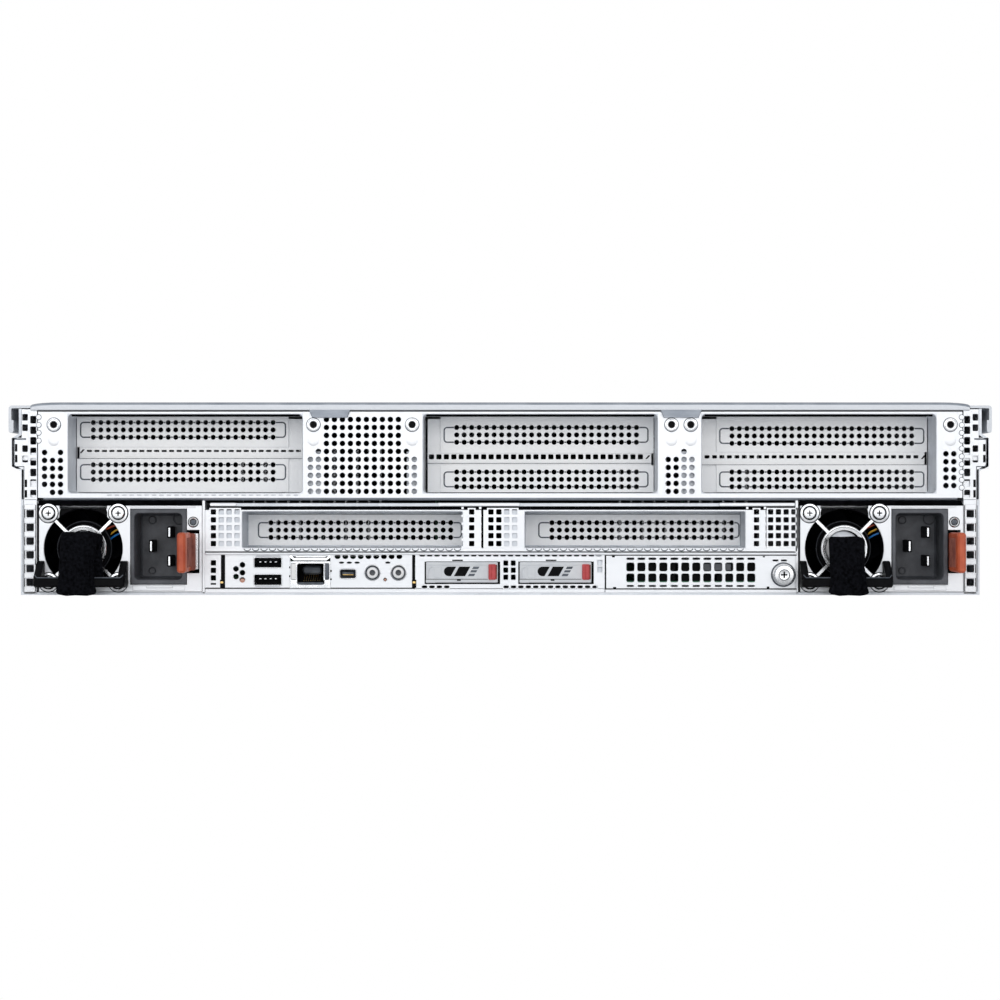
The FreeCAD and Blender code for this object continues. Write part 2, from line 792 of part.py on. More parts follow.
def ethernet_port():
    jack = start("ethernet_port")
    left = "mid_left + jack_inset"
    cheek = "(jack_width - jack_opening_width) / 2"
    block(jack, (left, f"{left} + jack_width"), ("rear", "rear + jack_depth"), ("jack_bottom", "jack_top"))
    block(jack, (f"{left} + {cheek}", f"{left} + jack_width - {cheek}"),
          ("rear - sheet", "rear + jack_cavity"), ("jack_opening_bottom", "jack_opening_top - sheet * 2"),
          cut=True)
    block(jack, (f"{left} + jack_width / 3", f"{left} + jack_width * 2 / 3"),
          ("rear - sheet", "rear + jack_cavity"), ("jack_opening_bottom", "jack_opening_top"), cut=True)
    return keep(jack)


def display_port():
    port = start("display_port")
    left = "mid_left + display_inset"
    right = f"{left} + display_width"
    block(port, (left, right), ("rear", "rear + display_depth"),
          ("display_bottom", "display_bottom + display_height"))
    block(port, (f"{left} + usb_wall", f"{right} - usb_wall"),
          ("rear - sheet", "rear + display_depth - usb_wall * 4"),
          ("display_bottom + usb_wall", "display_bottom + display_height - usb_wall"), cut=True)
    block(port, (f"{left} + usb_wall * 3", f"{right} - usb_wall * 3"),
          ("rear + sheet", "rear + display_depth - usb_wall"),
          ("display_bottom + display_height / 2 - usb_wall", "display_bottom + display_height / 2 + usb_wall"))
    return keep(port)


def round_button(label, inset):
    """Push button, free in its round hole."""
    button = start(label)
    rod(button, "y", ("0", "0"), ("0 - button_proud", "button_length"), "button_radius")
    seat(button, f"mid_left + {inset}", "rear", "button_z")
    return keep(button)


def boot_drive_cage():
    """Cage for the two slim boot drives, beside the ports."""
    cage = start("boot_drive_cage")
    left = "boot_left"
    block(cage, (left, f"{left} + boot_cage_width"), ("rear", "rear + boot_cage_depth"), ("sheet", "io_top"))
    for bay in boot_bays:
        block(cage, (bay, f"{bay} + boot_bay_width"), ("rear - sheet", "rear + boot_bay_depth + gap"),
              ("boot_bay_bottom", "boot_bay_top"), cut=True)
    run = ("rear - sheet", "rear + sheet * 2")
    holes(cage, "boot_left + boot_cage_width / 2 - square_pitch / 2", "boot_bay_bottom + square_pitch",
          "square_hole", run, ("square_pitch", "2"), ("square_pitch", "3"))
    return keep(cage)


def boot_drive(label, bay):
    """Slim drive tray: face, floor and sides, with the drive board on it."""
    tray = start(label)
    low, high = f"{bay} + gap", f"{bay} + boot_bay_width - gap"
    bottom, top = "boot_bay_bottom + gap", "boot_bay_top - gap"
    block(tray, (low, high), ("rear", "rear + boot_bay_depth"), (bottom, top))
    block(tray, (f"{low} + sheet", f"{high} - sheet"), ("rear + boot_face", "rear + boot_bay_depth + sheet"),
          (f"{bottom} + sheet", f"{top} + sheet"), cut=True)
    middle = f"({low} + {high}) / 2"
    block(tray, (f"{middle} - boot_board_width / 2", f"{middle} + boot_board_width / 2"),
          ("rear + boot_face * 2", "rear + boot_face * 2 + boot_board_length"),
          (bottom, f"{bottom} + sheet + boot_board_thickness"))
    notch = f"{high} - boot_latch_margin"
    block(tray, (f"{notch} - boot_latch_width - gap * 6", notch), ("rear - sheet", "rear + boot_face - gap"),
          ("boot_middle - boot_latch_height / 2 - gap", "boot_middle + boot_latch_height / 2 + gap"), cut=True)
    block(tray, (f"{low} + boot_bay_width / 4", f"{middle} + boot_bay_width / 5"),
          ("rear - sheet", "rear + boot_face - sheet"),
          ("boot_middle - boot_latch_height / 3", "boot_middle + boot_latch_height / 3"), cut=True)
    return keep(tray)


def boot_latch(label, bay):
    """Small finger latch at the right end of a drive's face, hinged at its inner edge."""
    latch = start(label)
    width, thickness = "boot_latch_width", "boot_latch_thickness"
    slab(latch, "XY", [
        ("0", f"0 - {thickness} / 2"),
        (f"{width} - {thickness} / 2", f"0 - {thickness} / 2"),
        (f"{width} - {thickness} / 4", "0"),
        (f"{width} - {thickness} / 2", f"{thickness} / 2 - gap"),
        (f"0 - {thickness} / 4", f"{thickness} / 2 - gap"), (f"0 - {thickness} / 4", "0"),
    ], ("0 - boot_latch_height / 2", "boot_latch_height / 2"))
    seat(latch, f"{bay} + boot_bay_width - gap - boot_latch_margin - boot_latch_width",
         "rear + boot_latch_thickness / 2 - gap * 2", "boot_middle")
    return keep(latch)


def network_card():
    """Card with its rear bracket, square grille, board and heat sink."""
    card = start("network_card")
    block(card, ("card_left", "card_right"), ("rear", "rear + sheet"), ("sheet + gap", "card_top"))
    holes(card, "card_left + grille_first_inset", "grille_row", "grille_hole",
          through("rear", "rear + sheet"), ("grille_pitch", "grille_columns"), ("0", "1"))
    rod(card, "y", ("card_right - screw_inset", "screw_z"), through("rear", "rear + sheet"),
        "screw_radius + gap", cut=True)
    board = ("card_left + card_board_inset", "card_right - card_screw_side")
    board_top = "card_board_z + card_board_thickness"
    block(card, board, ("rear + sheet / 2", "rear + card_length"), ("card_board_z", board_top))
    block(card, ("card_left + card_board_inset + sheet", "card_left + card_board_inset + card_sink_width"),
          ("rear + card_length / 4", "rear + card_length / 4 + card_sink_length"),
          (board_top, f"{board_top} + card_sink_height"))
    return keep(card)


def card_thumbscrew():
    """Knurled captive screw that holds the card."""
    screw = start("card_thumbscrew")
    turned(screw, [
        ("0", "0 - screw_head_height - gap"),
        ("screw_head_radius - sheet", "0 - screw_head_height - gap"),
        ("screw_head_radius", "0 - screw_head_height + sheet - gap"),
        ("screw_head_radius", "0 - gap"),
        ("screw_radius", "0 - gap"),
        ("screw_radius", "screw_length"),
        ("0", "screw_length"),
    ])
    seat(screw, "card_right - screw_inset", "rear", "screw_z")
    return keep(screw)


def supply_case(label, left):
    """Power supply housing with its fan opening and guard, inlet bay and latch pocket."""
    case = start(label)
    block(case, ("0", "supply_width"), ("0", "supply_depth"), ("0", "supply_height"))
    half = "supply_fan_width / 2 + gap"
    block(case, (f"supply_fan_x - ({half})", f"supply_fan_x + {half}"), ("sheet", "sheet + supply_fan_depth + gap"),
          ("supply_skin", "supply_height - supply_skin"), cut=True)
    centre = ("supply_fan_x", "supply_fan_z")
    rod(case, "y", centre, ("0 - sheet", "sheet * 2"), "supply_fan_bore", cut=True)
    rod(case, "y", centre, ("0", "sheet"), "guard_ring")
    rod(case, "y", centre, ("0 - sheet", "sheet * 2"), "guard_ring - guard_band", cut=True)
    # four diagonal struts: each is a rectangle along its 45 degree line, from inside the ring into the plate
    inner, outer = "(guard_ring - guard_band / 2) * cos(45)", "(supply_fan_bore + sheet / 2) * cos(45)"
    half = "guard_strut / 2 * cos(45)"
    for across in ("-", "+"):
        for up in ("-", "+"):
            slab(case, "XZ", [
                (f"supply_fan_x {across} ({x})", f"supply_fan_z {up} ({z})") for x, z in (
                    (f"{inner} - {half}", f"{inner} + {half}"), (f"{inner} + {half}", f"{inner} - {half}"),
                    (f"{outer} + {half}", f"{outer} - {half}"), (f"{outer} - {half}", f"{outer} + {half}"),
                )
            ], ("0", "sheet"))
    block(case, ("inlet_left", "inlet_left + inlet_width"), ("0 - sheet", "inlet_depth"),
          ("inlet_bottom", "inlet_bottom + inlet_height"), cut=True)
    block(case, ("inlet_left + inlet_width - sheet", "supply_width + sheet"),
          ("0 - sheet", "tab_inside + gap * 2"),
          ("tab_bottom - gap * 2", "tab_bottom + tab_height + gap * 2"), cut=True)
    seat(case, left, "rear", "supply_z")
    return keep(case)


def supply_inlet(label, left):
    """Mains inlet: shell, cavity and three flat pins."""
    inlet = start(label)
    block(inlet, ("0", "inlet_width"), ("0 - inlet_proud", "inlet_depth"), ("0", "inlet_height"))
    side, end = "(inlet_width - inlet_cavity_width) / 2", "(inlet_height - inlet_cavity_height) / 2"
    slab(inlet, "XZ", [
        (side, end), (f"inlet_width - {side}", end), (f"inlet_width - {side}", f"inlet_height - {end}"),
        (f"{side} + sheet", f"inlet_height - {end}"), (side, f"inlet_height - {end} - sheet"),
    ], ("0 - inlet_proud - sheet", "inlet_cavity_depth"), cut=True)
    thick, tall = "blade_thickness / 2", "blade_height / 2"
    for x, z in (("earth_from_left", "inlet_height / 2"),
                 ("live_from_left", "inlet_height / 2 + live_spread / 2"),
                 ("live_from_left", "inlet_height / 2 - live_spread / 2")):
        block(inlet, (f"{side} + {x} - {thick}", f"{side} + {x} + {thick}"),
              ("inlet_cavity_depth - blade_length", "inlet_cavity_depth + sheet"),
              (f"{z} - {tall}", f"{z} + {tall}"))
    seat(inlet, f"{left} + inlet_left", "rear", "supply_z + inlet_bottom")
    return keep(inlet)


def supply_fan(label, left):
    """Fan housing with its hub and struts, and the two screws that hold it."""
    fan = start(label, several=True)
    half = "supply_fan_width / 2"
    run = ("sheet + gap / 2", "sheet + supply_fan_depth")
    low, high = "supply_skin + gap - supply_fan_z", "supply_height - supply_skin - gap - supply_fan_z"
    block(fan, (f"0 - {half}", half), run, (low, high))
    rod(fan, "y", ("0", "0"), ("0", "sheet * 2 + supply_fan_depth"), "supply_fan_bore", cut=True)
    front = ("sheet + supply_fan_depth - sheet * 2", "sheet + supply_fan_depth")
    mount = "supply_hub - mount_inset"
    block(fan, (f"0 - {mount}", mount), front, (f"0 - {mount}", mount))
    reach, strut = "supply_fan_bore + sheet / 4", "guard_strut"
    block(fan, (f"0 - {reach}", reach), front, (f"0 - {strut}", strut))
    block(fan, (f"0 - {strut}", strut), front, (f"0 - {reach}", reach))
    for x in ("supply_screw_low - supply_fan_x", "supply_screw_high - supply_fan_x"):
        rod(fan, "y", (x, "supply_height - supply_screw_drop - supply_fan_z"), ("0 - sheet", "0"),
            "captive_screw_radius")
    seat(fan, f"{left} + supply_fan_x", "rear", "supply_z + supply_fan_z")
    return keep(fan)


def rotor(label, hub, tip, length, chord, place):
    """Hub with pitched blades about its own Y axis."""
    wheel = start(label)
    turned(wheel, [
        ("0", "0"), (hub, "0"), (hub, length), ("0", length),
    ])
    blade = wheel.newObject("PartDesign::AdditiveBox", label + "_blade")
    blade.Placement = FreeCAD.Placement(FreeCAD.Vector(), FreeCAD.Rotation(FreeCAD.Vector(0, 0, 1), 0))
    bind(blade, "Placement.Rotation.Angle", "blade_pitch_angle")
    bind(blade, "Length", chord)
    bind(blade, "Width", "sheet")
    bind(blade, "Height", f"({tip}) * blade_reach - ({hub}) + sheet")
    bind(blade, "Placement.Base.x", f"0 - ({chord}) / 2 * cos(blade_pitch_angle)")
    bind(blade, "Placement.Base.y", f"({length}) / 2 - ({chord}) / 2 * sin(blade_pitch_angle)")
    bind(blade, "Placement.Base.z", f"({hub}) - sheet")
    ring = wheel.newObject("PartDesign::PolarPattern", label + "_blades")
    ring.Originals = [blade]
    ring.Axis = (origin_part(wheel, "Y_Axis"), [""])
    ring.Angle = 360
    bind(ring, "Occurrences", "fan_blades")
    wheel.Tip = ring
    seat(wheel, *place)
    return keep(wheel)


def supply_handle(label, left):
    """Bent handle below the fan, with two lugs and a round bar."""
    handle = start(label)
    base = "supply_fan_x - handle_width / 2"
    rod(handle, "x", ("handle_bar_y", "handle_bar_z"), (base, f"{base} + handle_width"), "handle_bar_radius")
    for low in (base, f"{base} + handle_width - handle_leg"):
        slab(handle, "YZ", [
            ("0", "handle_bar_z - handle_bar_radius"),
            ("0", "handle_lug_top"),
            ("0 - handle_bar_radius * 2", "handle_lug_top"),
            ("0 - handle_reach", "handle_bar_z + handle_bar_radius"),
            ("0 - handle_reach", "handle_bar_z - handle_bar_radius"),
        ], (low, f"{low} + handle_leg"))
    seat(handle, left, "rear", "supply_z")
    return keep(handle)


def supply_strap(label, left):
    """Cable strap looped round the handle's bar: a soft part, kept plain."""
    strap = start(label)
    low = "supply_fan_x - strap_width / 2"
    run = (low, f"{low} + strap_width")
    rod(strap, "x", ("handle_bar_y", "handle_bar_z"), run, "strap_outer")
    block(strap, run, ("handle_bar_y - strap_wall", "handle_bar_y + strap_wall"),
          ("handle_bar_z", "strap_top"))
    rod(strap, "x", ("handle_bar_y", "handle_bar_z"), (f"{low} - sheet", f"{low} + strap_width + sheet"),
        "handle_bar_radius + gap", cut=True)
    seat(strap, left, "rear", "supply_z")
    return keep(strap)


def supply_latch(label, left):
    """Release tab, gripped from behind and pivoted just inside the housing."""
    tab = start(label)
    low = "0 - tab_thickness / 2"
    high = "tab_thickness / 2"
    slab(tab, "XY", [
        (low, "sheet - tab_reach"), (f"{low} + sheet", "0 - tab_reach"), (f"{high} - sheet", "0 - tab_reach"),
        (high, "sheet - tab_reach"), (high, "tab_inside"), (f"{low} + sheet", "tab_inside"), (low, "0 - gap"),
    ], ("0", "tab_height"))
    seat(tab, f"{left} + tab_left + tab_thickness / 2", "rear", "supply_z + tab_bottom")
    return keep(tab)


def supply(side, left):
    name = f"supply_{side}_"
    supply_case(name + "case", left)
    supply_inlet(name + "inlet", left)
    supply_fan(name + "fan", left)
    rotor(name + "rotor", "supply_hub", "supply_blade_tip", "supply_fan_depth - sheet * 3 - gap",
          "supply_blade_chord",
          (f"{left} + supply_fan_x", "rear + sheet * 2", "supply_z + supply_fan_z"))
    supply_handle(name + "handle", left)
    supply_strap(name + "strap", left)
    supply_latch(name + "latch", left)


def motherboard():
    """Main board: narrow between the supplies, wide ahead of them, with its sockets."""
    board = start("motherboard")
    slab(board, "XY", [
        ("mid_left + gap", "rear + board_rear_inset"), ("boot_left - gap", "rear + board_rear_inset"),
        ("boot_left - gap", "rear + board_middle_inset"), ("mid_right - gap", "rear + board_middle_inset"),
        ("mid_right - gap", "rear + board_wide_inset"), ("board_wide_half", "rear + board_wide_inset"),
        ("board_wide_half", "rear + board_front_inset"), ("0 - board_wide_half", "rear + board_front_inset"),
        ("0 - board_wide_half", "rear + board_wide_inset"), ("mid_left + gap", "rear + board_wide_inset"),
    ], ("board_bottom", "board_top"))
    for left in ("supply_left_x", "supply_right_x"):
        middle = f"{left} + supply_width / 2"
        block(board, (f"{middle} - supply_socket_width / 2", f"{middle} + supply_socket_width / 2"),
              ("rear + board_wide_inset", "rear + board_wide_inset + supply_socket_length"),
              ("board_top - board_thickness / 2", "board_top + supply_socket_height"))
    block(board, ("card_left + card_board_inset", "card_right - card_screw_side"),
          ("rear + card_length + gap", "rear + board_middle_inset + card_socket_reach"),
          ("board_bottom", "card_top - sheet * 4"))
    for side in ("0 - sink_offset", "sink_offset"):
        block(board, (f"{side} - socket_width / 2", f"{side} + socket_width / 2"),
              ("sink_rear + (sink_length - socket_width) / 2", "sink_rear + (sink_length + socket_width) / 2"),
              ("board_top - board_thickness / 2", "board_top + socket_height"))
    return keep(board)


def processor_heatsinks():
    """Two finned heat sinks, one on each processor socket."""
    sinks = []
    for side in ("0 - sink_offset", "sink_offset"):
        sink = start(f"heatsink_{len(sinks) + 1}")
        half = "sink_width / 2"
        block(sink, (f"0 - {half}", half), ("0", "sink_length"), ("0", "sink_base"))
        fin = block(sink, (f"0 - {half}", f"fin_thickness - {half}"), ("0", "sink_length"),
                    ("sink_base / 2", "sink_height"))
        grid(sink, fin, ("X", "(sink_width - fin_thickness) / (fins - 1)", "fins"))
        seat(sink, side, "sink_rear", "board_top + socket_height")
        sinks.append(sink)
    return group("processor_heatsinks", sinks)


def memory_modules():
    """Four banks of memory modules standing on the board."""
    banks = []
    span = "stick_pitch * (sticks - 1) + stick_thickness"
    for first in ("0 - stick_bank_outer - (" + span + ")", "0 - stick_bank_inner - (" + span + ")",
                  "stick_bank_inner", "stick_bank_outer"):
        bank = start(f"memory_bank_{len(banks) + 1}", several=True)
        stick = block(bank, ("0", "stick_thickness"), ("0", "stick_length"), ("0", "stick_height"))
        grid(bank, stick, ("X", "stick_pitch", "sticks"))
        seat(bank, first, "sink_rear + (sink_length - stick_length) / 2", "board_top")
        banks.append(bank)
    return group("memory_modules", banks)


def fan_places():
    return [f"fan_pitch * {step}" for step in (-1.5, -0.5, 0.5, 1.5)]


def fan_frames():
    """Four square fan frames with their wall plates, motor mounts and struts."""
    frames = []
    for place in fan_places():
        frame = start(f"fan_frame_{len(frames) + 1}")
        half = "fan_width / 2"
        low, high = f"0 - {half}", half
        block(frame, (low, high), ("0", "fan_depth"), (low, high))
        block(frame, ("gap / 2 - fan_pitch / 2", "fan_pitch / 2 - gap / 2"), ("0", "fan_flange"), (low, high))
        rod(frame, "y", ("0", "0"), ("0 - sheet", "fan_depth + sheet"), "fan_bore", cut=True)
        mount = "fan_hub - mount_inset * 2"
        block(frame, (f"0 - {mount}", mount), ("0", "fan_strut"), (f"0 - {mount}", mount))
        reach = "fan_bore + sheet / 2"
        block(frame, (f"0 - {reach}", reach), ("0", "fan_strut"), ("0 - fan_strut / 2", "fan_strut / 2"))
        block(frame, ("0 - fan_strut / 2", "fan_strut / 2"), ("0", "fan_strut"), (f"0 - {reach}", reach))
        seat(frame, place, "fan_rear", "fan_middle_z")
        frames.append(frame)
    return group("fan_frames", frames)


def drive_cage():
    """Front cage: four drive bays across the bottom, posts and the fixed top plate above."""
    cage = start("drive_cage")
    half = "half_body - sheet"
    top = "carrier_bottom + carrier_height + gap"
    run = ("bay_back", "face")
    block(cage, (f"0 - ({half})", half), run, ("sheet", f"{top} + cage_wall"))
    bay = block(cage, ("0 - carrier_pitch * 1.5 - carrier_width / 2 - gap",
                       "carrier_width / 2 + gap - carrier_pitch * 1.5"),
                ("bay_back - sheet", "face + sheet"), ("carrier_bottom - gap", top), cut=True)
    grid(cage, bay, ("X", "carrier_pitch", "4"))
    for low, high in ((f"0 - ({half})", f"cage_wall * 2 - ({half})"), (f"{half} - cage_wall * 2", half)):
        block(cage, (low, high), run, (top, "cover_under"))
    hood = cover_profile("hood_sheet")
    slab(cage, "XZ", hood, ("bay_back", "front - ear_thickness"))
    return keep(cage)


def cover_profile(thickness):
    """Cross section of the top skin: crown, sloped shoulders and hemmed skirts."""
    outer = [
        ("half_cover - hem / 2", "skirt_bottom"), ("half_cover", "skirt_bottom + hem / 2"),
        ("half_cover", "shoulder_z - sheet"), ("half_cover - sheet", "shoulder_z"),
        ("half_shoulder", "shoulder_z"), ("half_crown", "total_height"),
    ]
    inner = [
        (f"half_crown", f"total_height - {thickness}"), ("half_shoulder", f"shoulder_z - {thickness}"),
        (f"half_cover - {thickness}", f"shoulder_z - {thickness}"),
        (f"half_cover - {thickness}", "skirt_fold"), ("half_cover - hem", "skirt_fold"),
        ("half_cover - hem", "skirt_bottom"),
    ]
    return outer + mirrored(outer) + mirrored(inner) + inner


def top_cover():
    """Removable cover: crowned skin, rear lip with two hooks, and the dish for its lever."""
    cover = start("top_cover")
    slab(cover, "XZ", cover_profile("sheet"), ("rear - gap", "bay_back - gap"))
    lip = ("rear - gap - sheet", "rear - gap")
    slab(cover, "XZ", [
        ("half_shoulder", "lip_bottom"), ("half_shoulder", "shoulder_z"), ("half_crown", "total_height"),
        ("0 - half_crown", "total_height"), ("0 - half_shoulder", "shoulder_z"),
        ("0 - half_shoulder", "lip_bottom"),
    ], lip)
    for middle in ("hook_left", "hook_right"):
        slab(cover, "XZ", [
            (f"{middle} - hook_width / 2", "lip_bottom + sheet"),
            (f"{middle} + hook_width / 2", "lip_bottom + sheet"),
            (f"{middle} + hook_width / 2 - hook_slant", "hook_bottom"),
            (f"{middle} - hook_width / 2 + hook_slant", "hook_bottom"),
        ], lip)
    half = "dish_width / 2"
    block(cover, (f"0 - {half}", half), ("dish_rear", "dish_front"), ("dish_floor", "total_height"))
    block(cover, (f"sheet - {half}", f"{half} - sheet"), ("dish_rear + sheet", "dish_front - sheet"),
          ("dish_floor + sheet", "total_height + sheet"), cut=True)
    return keep(cover)


def cover_lever():
    """Lift lever that lies in the cover's dish and swings up about its front edge."""
    lever = start("cover_lever")
    half = "dish_width / 2 - sheet - gap"
    up = "lever_thickness / 2"
    slab(lever, "YZ", [
        (up, f"0 - {up}"), ("lever_nose", "0"), (up, up),
        ("dish_rear + sheet + gap - lever_pivot_y", up),
        ("dish_rear + sheet + gap - lever_pivot_y", f"0 - {up} / 2"),
        ("dish_rear + sheet * 8 - lever_pivot_y", f"0 - {up}"),
    ], (f"0 - ({half})", half))
    block(lever, ("0 - dish_width / 6", "dish_width / 6"),
          ("dish_rear + sheet + gap + lever_rim * 2 - lever_pivot_y", "0 - lever_thickness * 1.5"),
          (f"0 - {up} - sheet", f"{up} + sheet"), cut=True)
    seat(lever, "0", "lever_pivot_y", "lever_pivot_z")
    return keep(lever)


def drive_backplane():
    """Board behind the drives with an air slot over each connector."""
    board = start("drive_backplane")
    half = "half_body - sheet - gap"
    block(board, (f"0 - ({half})", half), ("bay_back - backplane_thickness", "bay_back"),
          ("sheet", "sheet + backplane_height"))
    first = carrier_places()[0]
    slot = block(board, (f"{first} - carrier_width / 3", f"{first} + carrier_width / 3"),
                 ("bay_back - backplane_thickness - sheet", "bay_back + sheet"),
                 ("sheet + backplane_height / 2", "sheet + backplane_height * 0.8"), cut=True)
    grid(board, slot, ("X", "carrier_pitch", "4"))
    return keep(board)


def carrier_places():
    return [f"carrier_pitch * {step}" for step in (-1.5, -0.5, 0.5, 1.5)]


def drive_carrier(number, place):
    """Drive carrier: slotted bezel, side rails, and the drive between them."""
    carrier = start(f"drive_carrier_{number}")
    half = "carrier_width / 2"
    disk = "disk_width / 2"
    back = "0 - drive_bay_depth + front_set_back + sheet * 2"
    block(carrier, (f"0 - {half}", half), ("0 - bezel_thickness", "0"), ("0", "carrier_height"))
    cell = block(carrier, ("0 - bezel_slot_pitch * (bezel_slots - 1) / 2 - bezel_slot / 2",
                           "bezel_slot / 2 - bezel_slot_pitch * (bezel_slots - 1) / 2"),
                 ("0 - sheet * 2", "sheet"),
                 ("drive_lever_z + drive_lever_height + gap * 3", "carrier_height - sheet"), cut=True)
    grid(carrier, cell, ("X", "bezel_slot_pitch", "bezel_slots"))
    for low, high in ((f"0 - {half}", f"0 - {disk}"), (disk, half)):
        block(carrier, (low, high), (back, "0 - sheet"), ("carrier_wall", "carrier_height / 2"))
    block(carrier, (f"0 - {disk}", disk), (back, f"{back} + disk_length"),
          ("carrier_wall", "carrier_wall + disk_height"))
    block(carrier, (f"0 - {disk}", disk), (f"{back} + disk_length - sheet", "0 - sheet"),
          ("carrier_wall", "carrier_wall * 2"))
    block(carrier, ("0 - drive_lever_length / 2 - gap * 2", "drive_lever_length / 2 + gap * 2"),
          ("0 - drive_lever_thickness - gap", "sheet"),
          ("drive_lever_z - gap", "drive_lever_z + drive_lever_height + gap"), cut=True)
    seat(carrier, place, "face", "carrier_bottom")
    return keep(carrier)


def drive_lever(number, place):
    """Ejector lever in the bezel, hinged at its left end."""
    lever = start(f"drive_lever_{number}")
    thick = "drive_lever_thickness / 2"
    slab(lever, "XY", [
        (f"0 - {thick} / 2", f"0 - {thick}"),
        ("drive_lever_length - drive_lever_thickness", f"0 - {thick} / 2"),
        ("drive_lever_length - drive_lever_thickness", thick),
        (f"0 - {thick} / 2", thick),
        (f"0 - {thick}", "0"),
    ], ("0", "drive_lever_height"))
    block(lever, ("drive_lever_grip", "drive_lever_grip + drive_lever_grip_length"),
          ("0 - drive_lever_thickness", "drive_lever_thickness"),
          ("drive_lever_height / 4", "drive_lever_height * 3 / 4"), cut=True)
    seat(lever, f"{place} - drive_lever_length / 2 + drive_lever_thickness / 2",
         "face - drive_lever_thickness / 2", "carrier_bottom + drive_lever_z")
    return keep(lever)


def front_vent_panel():
    """Slotted plate over the drives, where the air comes in."""
    plate = start("front_vent_panel")
    half = "half_body - sheet - cage_wall * 2"
    block(plate, (f"0 - ({half})", half), ("face - sheet", "face"), ("front_vent_bottom", "cover_under"))
    block(plate, (f"0 - ({half})", half), ("face - beam_depth", "face"),
          ("carrier_bottom + carrier_height + gap + cage_wall", "front_vent_bottom + sheet"))
    first = "0 - front_vent_pitch * (front_vent_slots - 1) / 2"
    middle = "(front_vent_bottom + cover_under) / 2"
    cell = block(plate, (f"{first} - front_vent_slot / 2", f"{first} + front_vent_slot / 2"),
                 ("face - beam_depth * 2", "face + sheet"),
                 (f"{middle} - front_vent_slot_height / 2", f"{middle} + front_vent_slot_height / 2"),
                 cut=True)
    grid(plate, cell, ("X", "front_vent_pitch", "front_vent_slots"))
    rod(plate, "y", ("power_button_x", "power_button_z"), ("face - sheet * 2", "face + sheet"),
        "power_button_radius + gap", cut=True)
    return keep(plate)


def power_button():
    button = start("power_button")
    rod(button, "y", ("0", "0"), ("0 - button_length", "sheet"), "power_button_radius")
    seat(button, "power_button_x", "face", "power_button_z")
    return keep(button)


def rack_ear(number, sign):
    """Angle bracket that carries the machine in the rack, with two screw slots."""
    ear = start(f"rack_ear_{number}")
    inner, outer = "half_body", "ear_width / 2"
    spans = {"plate": (inner, outer), "flange": (inner, f"{inner} + ear_thickness / 2")}
    if sign < 0:
        spans = {key: (f"0 - ({end})", f"0 - ({begin})") for key, (begin, end) in spans.items()}
    bottom = "(total_height - ear_height) / 2"
    block(ear, spans["plate"], ("front - ear_thickness", "front"), (bottom, f"{bottom} + ear_height"))
    block(ear, spans["flange"], ("front - ear_flange", "front"), ("ear_flange_bottom", "bulge_bottom - sheet"))
    middle = f"{sign} * (ear_width / 2 - ear_slot_inset)"
    straight = "(ear_slot_length - ear_slot_radius * 2) / 2"
    run = ("front - ear_thickness * 2", "front + ear_thickness")
    for z in ("ear_slot_from_end", "total_height - ear_slot_from_end"):
        block(ear, (f"{middle} - {straight}", f"{middle} + {straight}"), run,
              (f"{z} - ear_slot_radius", f"{z} + ear_slot_radius"), cut=True)
        for end in ("-", "+"):
            rod(ear, "y", (f"{middle} {end} {straight}", z), run, "ear_slot_radius", cut=True)
    return ear


def rack_ears():
    return group("rack_ears", [rack_ear(1, -1), rack_ear(2, 1)])


def slam_latch(label, sign):
    """Curved quick-release latch in front of the ear, hinged at its outer edge."""
    latch = start(label)
    wall, width, reach = "slam_wall", "slam_width", "front_reach"
    side = "" if sign > 0 else "0 - "
    far = f"{reach} - slam_wall / 2 - gap"
    points = [
        (f"{wall} - {width}", "0 - slam_wall / 2"), (f"0 - {wall} / 2", "0 - slam_wall / 2"), ("0", wall),
        (f"0 - {wall}", "slam_knee"), (f"{wall} - slam_crest", far), (f"{wall} - slam_crest * 2", far),
        (f"{wall} - {width}", "slam_shoulder"),
    ]
    slab(latch, "XY", [(side + "(" + x + ")", y) for x, y in points], ("slam_bottom", "slam_top"))
    seat(latch, f"{side}(half_body + sheet * 2 + slam_width - slam_wall)", "front + slam_wall / 2 + gap", "0")
    return keep(latch)


def build():
    chassis_pan()
    rear_frame()
    riser_cage("riser_cage_left", "window_left", "cover_inset_left",
               ("left_cover_high", "left_cover_low"), "right")
    riser_cage("riser_cage_middle", "window_middle", "cover_inset_middle",
               ("middle_cover_high", "middle_cover_low"), "left")
    riser_cage("riser_cage_right", "window_right", "cover_inset_right",
               ("right_cover_high", "right_cover_low"), "left")
    slot_covers()
    riser_screws()
    lower_slot_frame()
    io_panel()
    usb_ports()
    ethernet_port()
    display_port()
    round_button("identify_button", "identify_inset")
    round_button("reset_button", "reset_inset")
    boot_drive_cage()
    for side, bay in zip(("left", "right"), boot_bays):
        boot_drive("boot_drive_" + side, bay)
        boot_latch("boot_latch_" + side, bay)
    network_card()
    card_thumbscrew()
    supply("left", "supply_left_x")
    supply("right", "supply_right_x")
    motherboard()
    processor_heatsinks()
    memory_modules()
    fan_frames()
    for number, place in enumerate(fan_places(), 1):
        rotor(f"fan_rotor_{number}", "fan_hub", "fan_tip", "rotor_length", "fan_hub",
              (place, "fan_rear + fan_strut + gap", "fan_middle_z"))
    drive_cage()
    drive_backplane()
    for number, place in enumerate(carrier_places(), 1):
        drive_carrier(number, place)
        drive_lever(number, place)
    front_vent_panel()
    power_button()
    rack_ears()
    slam_latch("slam_latch_left", -1)
    slam_latch("slam_latch_right", 1)
    top_cover()
    cover_lever()


build()
doc.recompute()

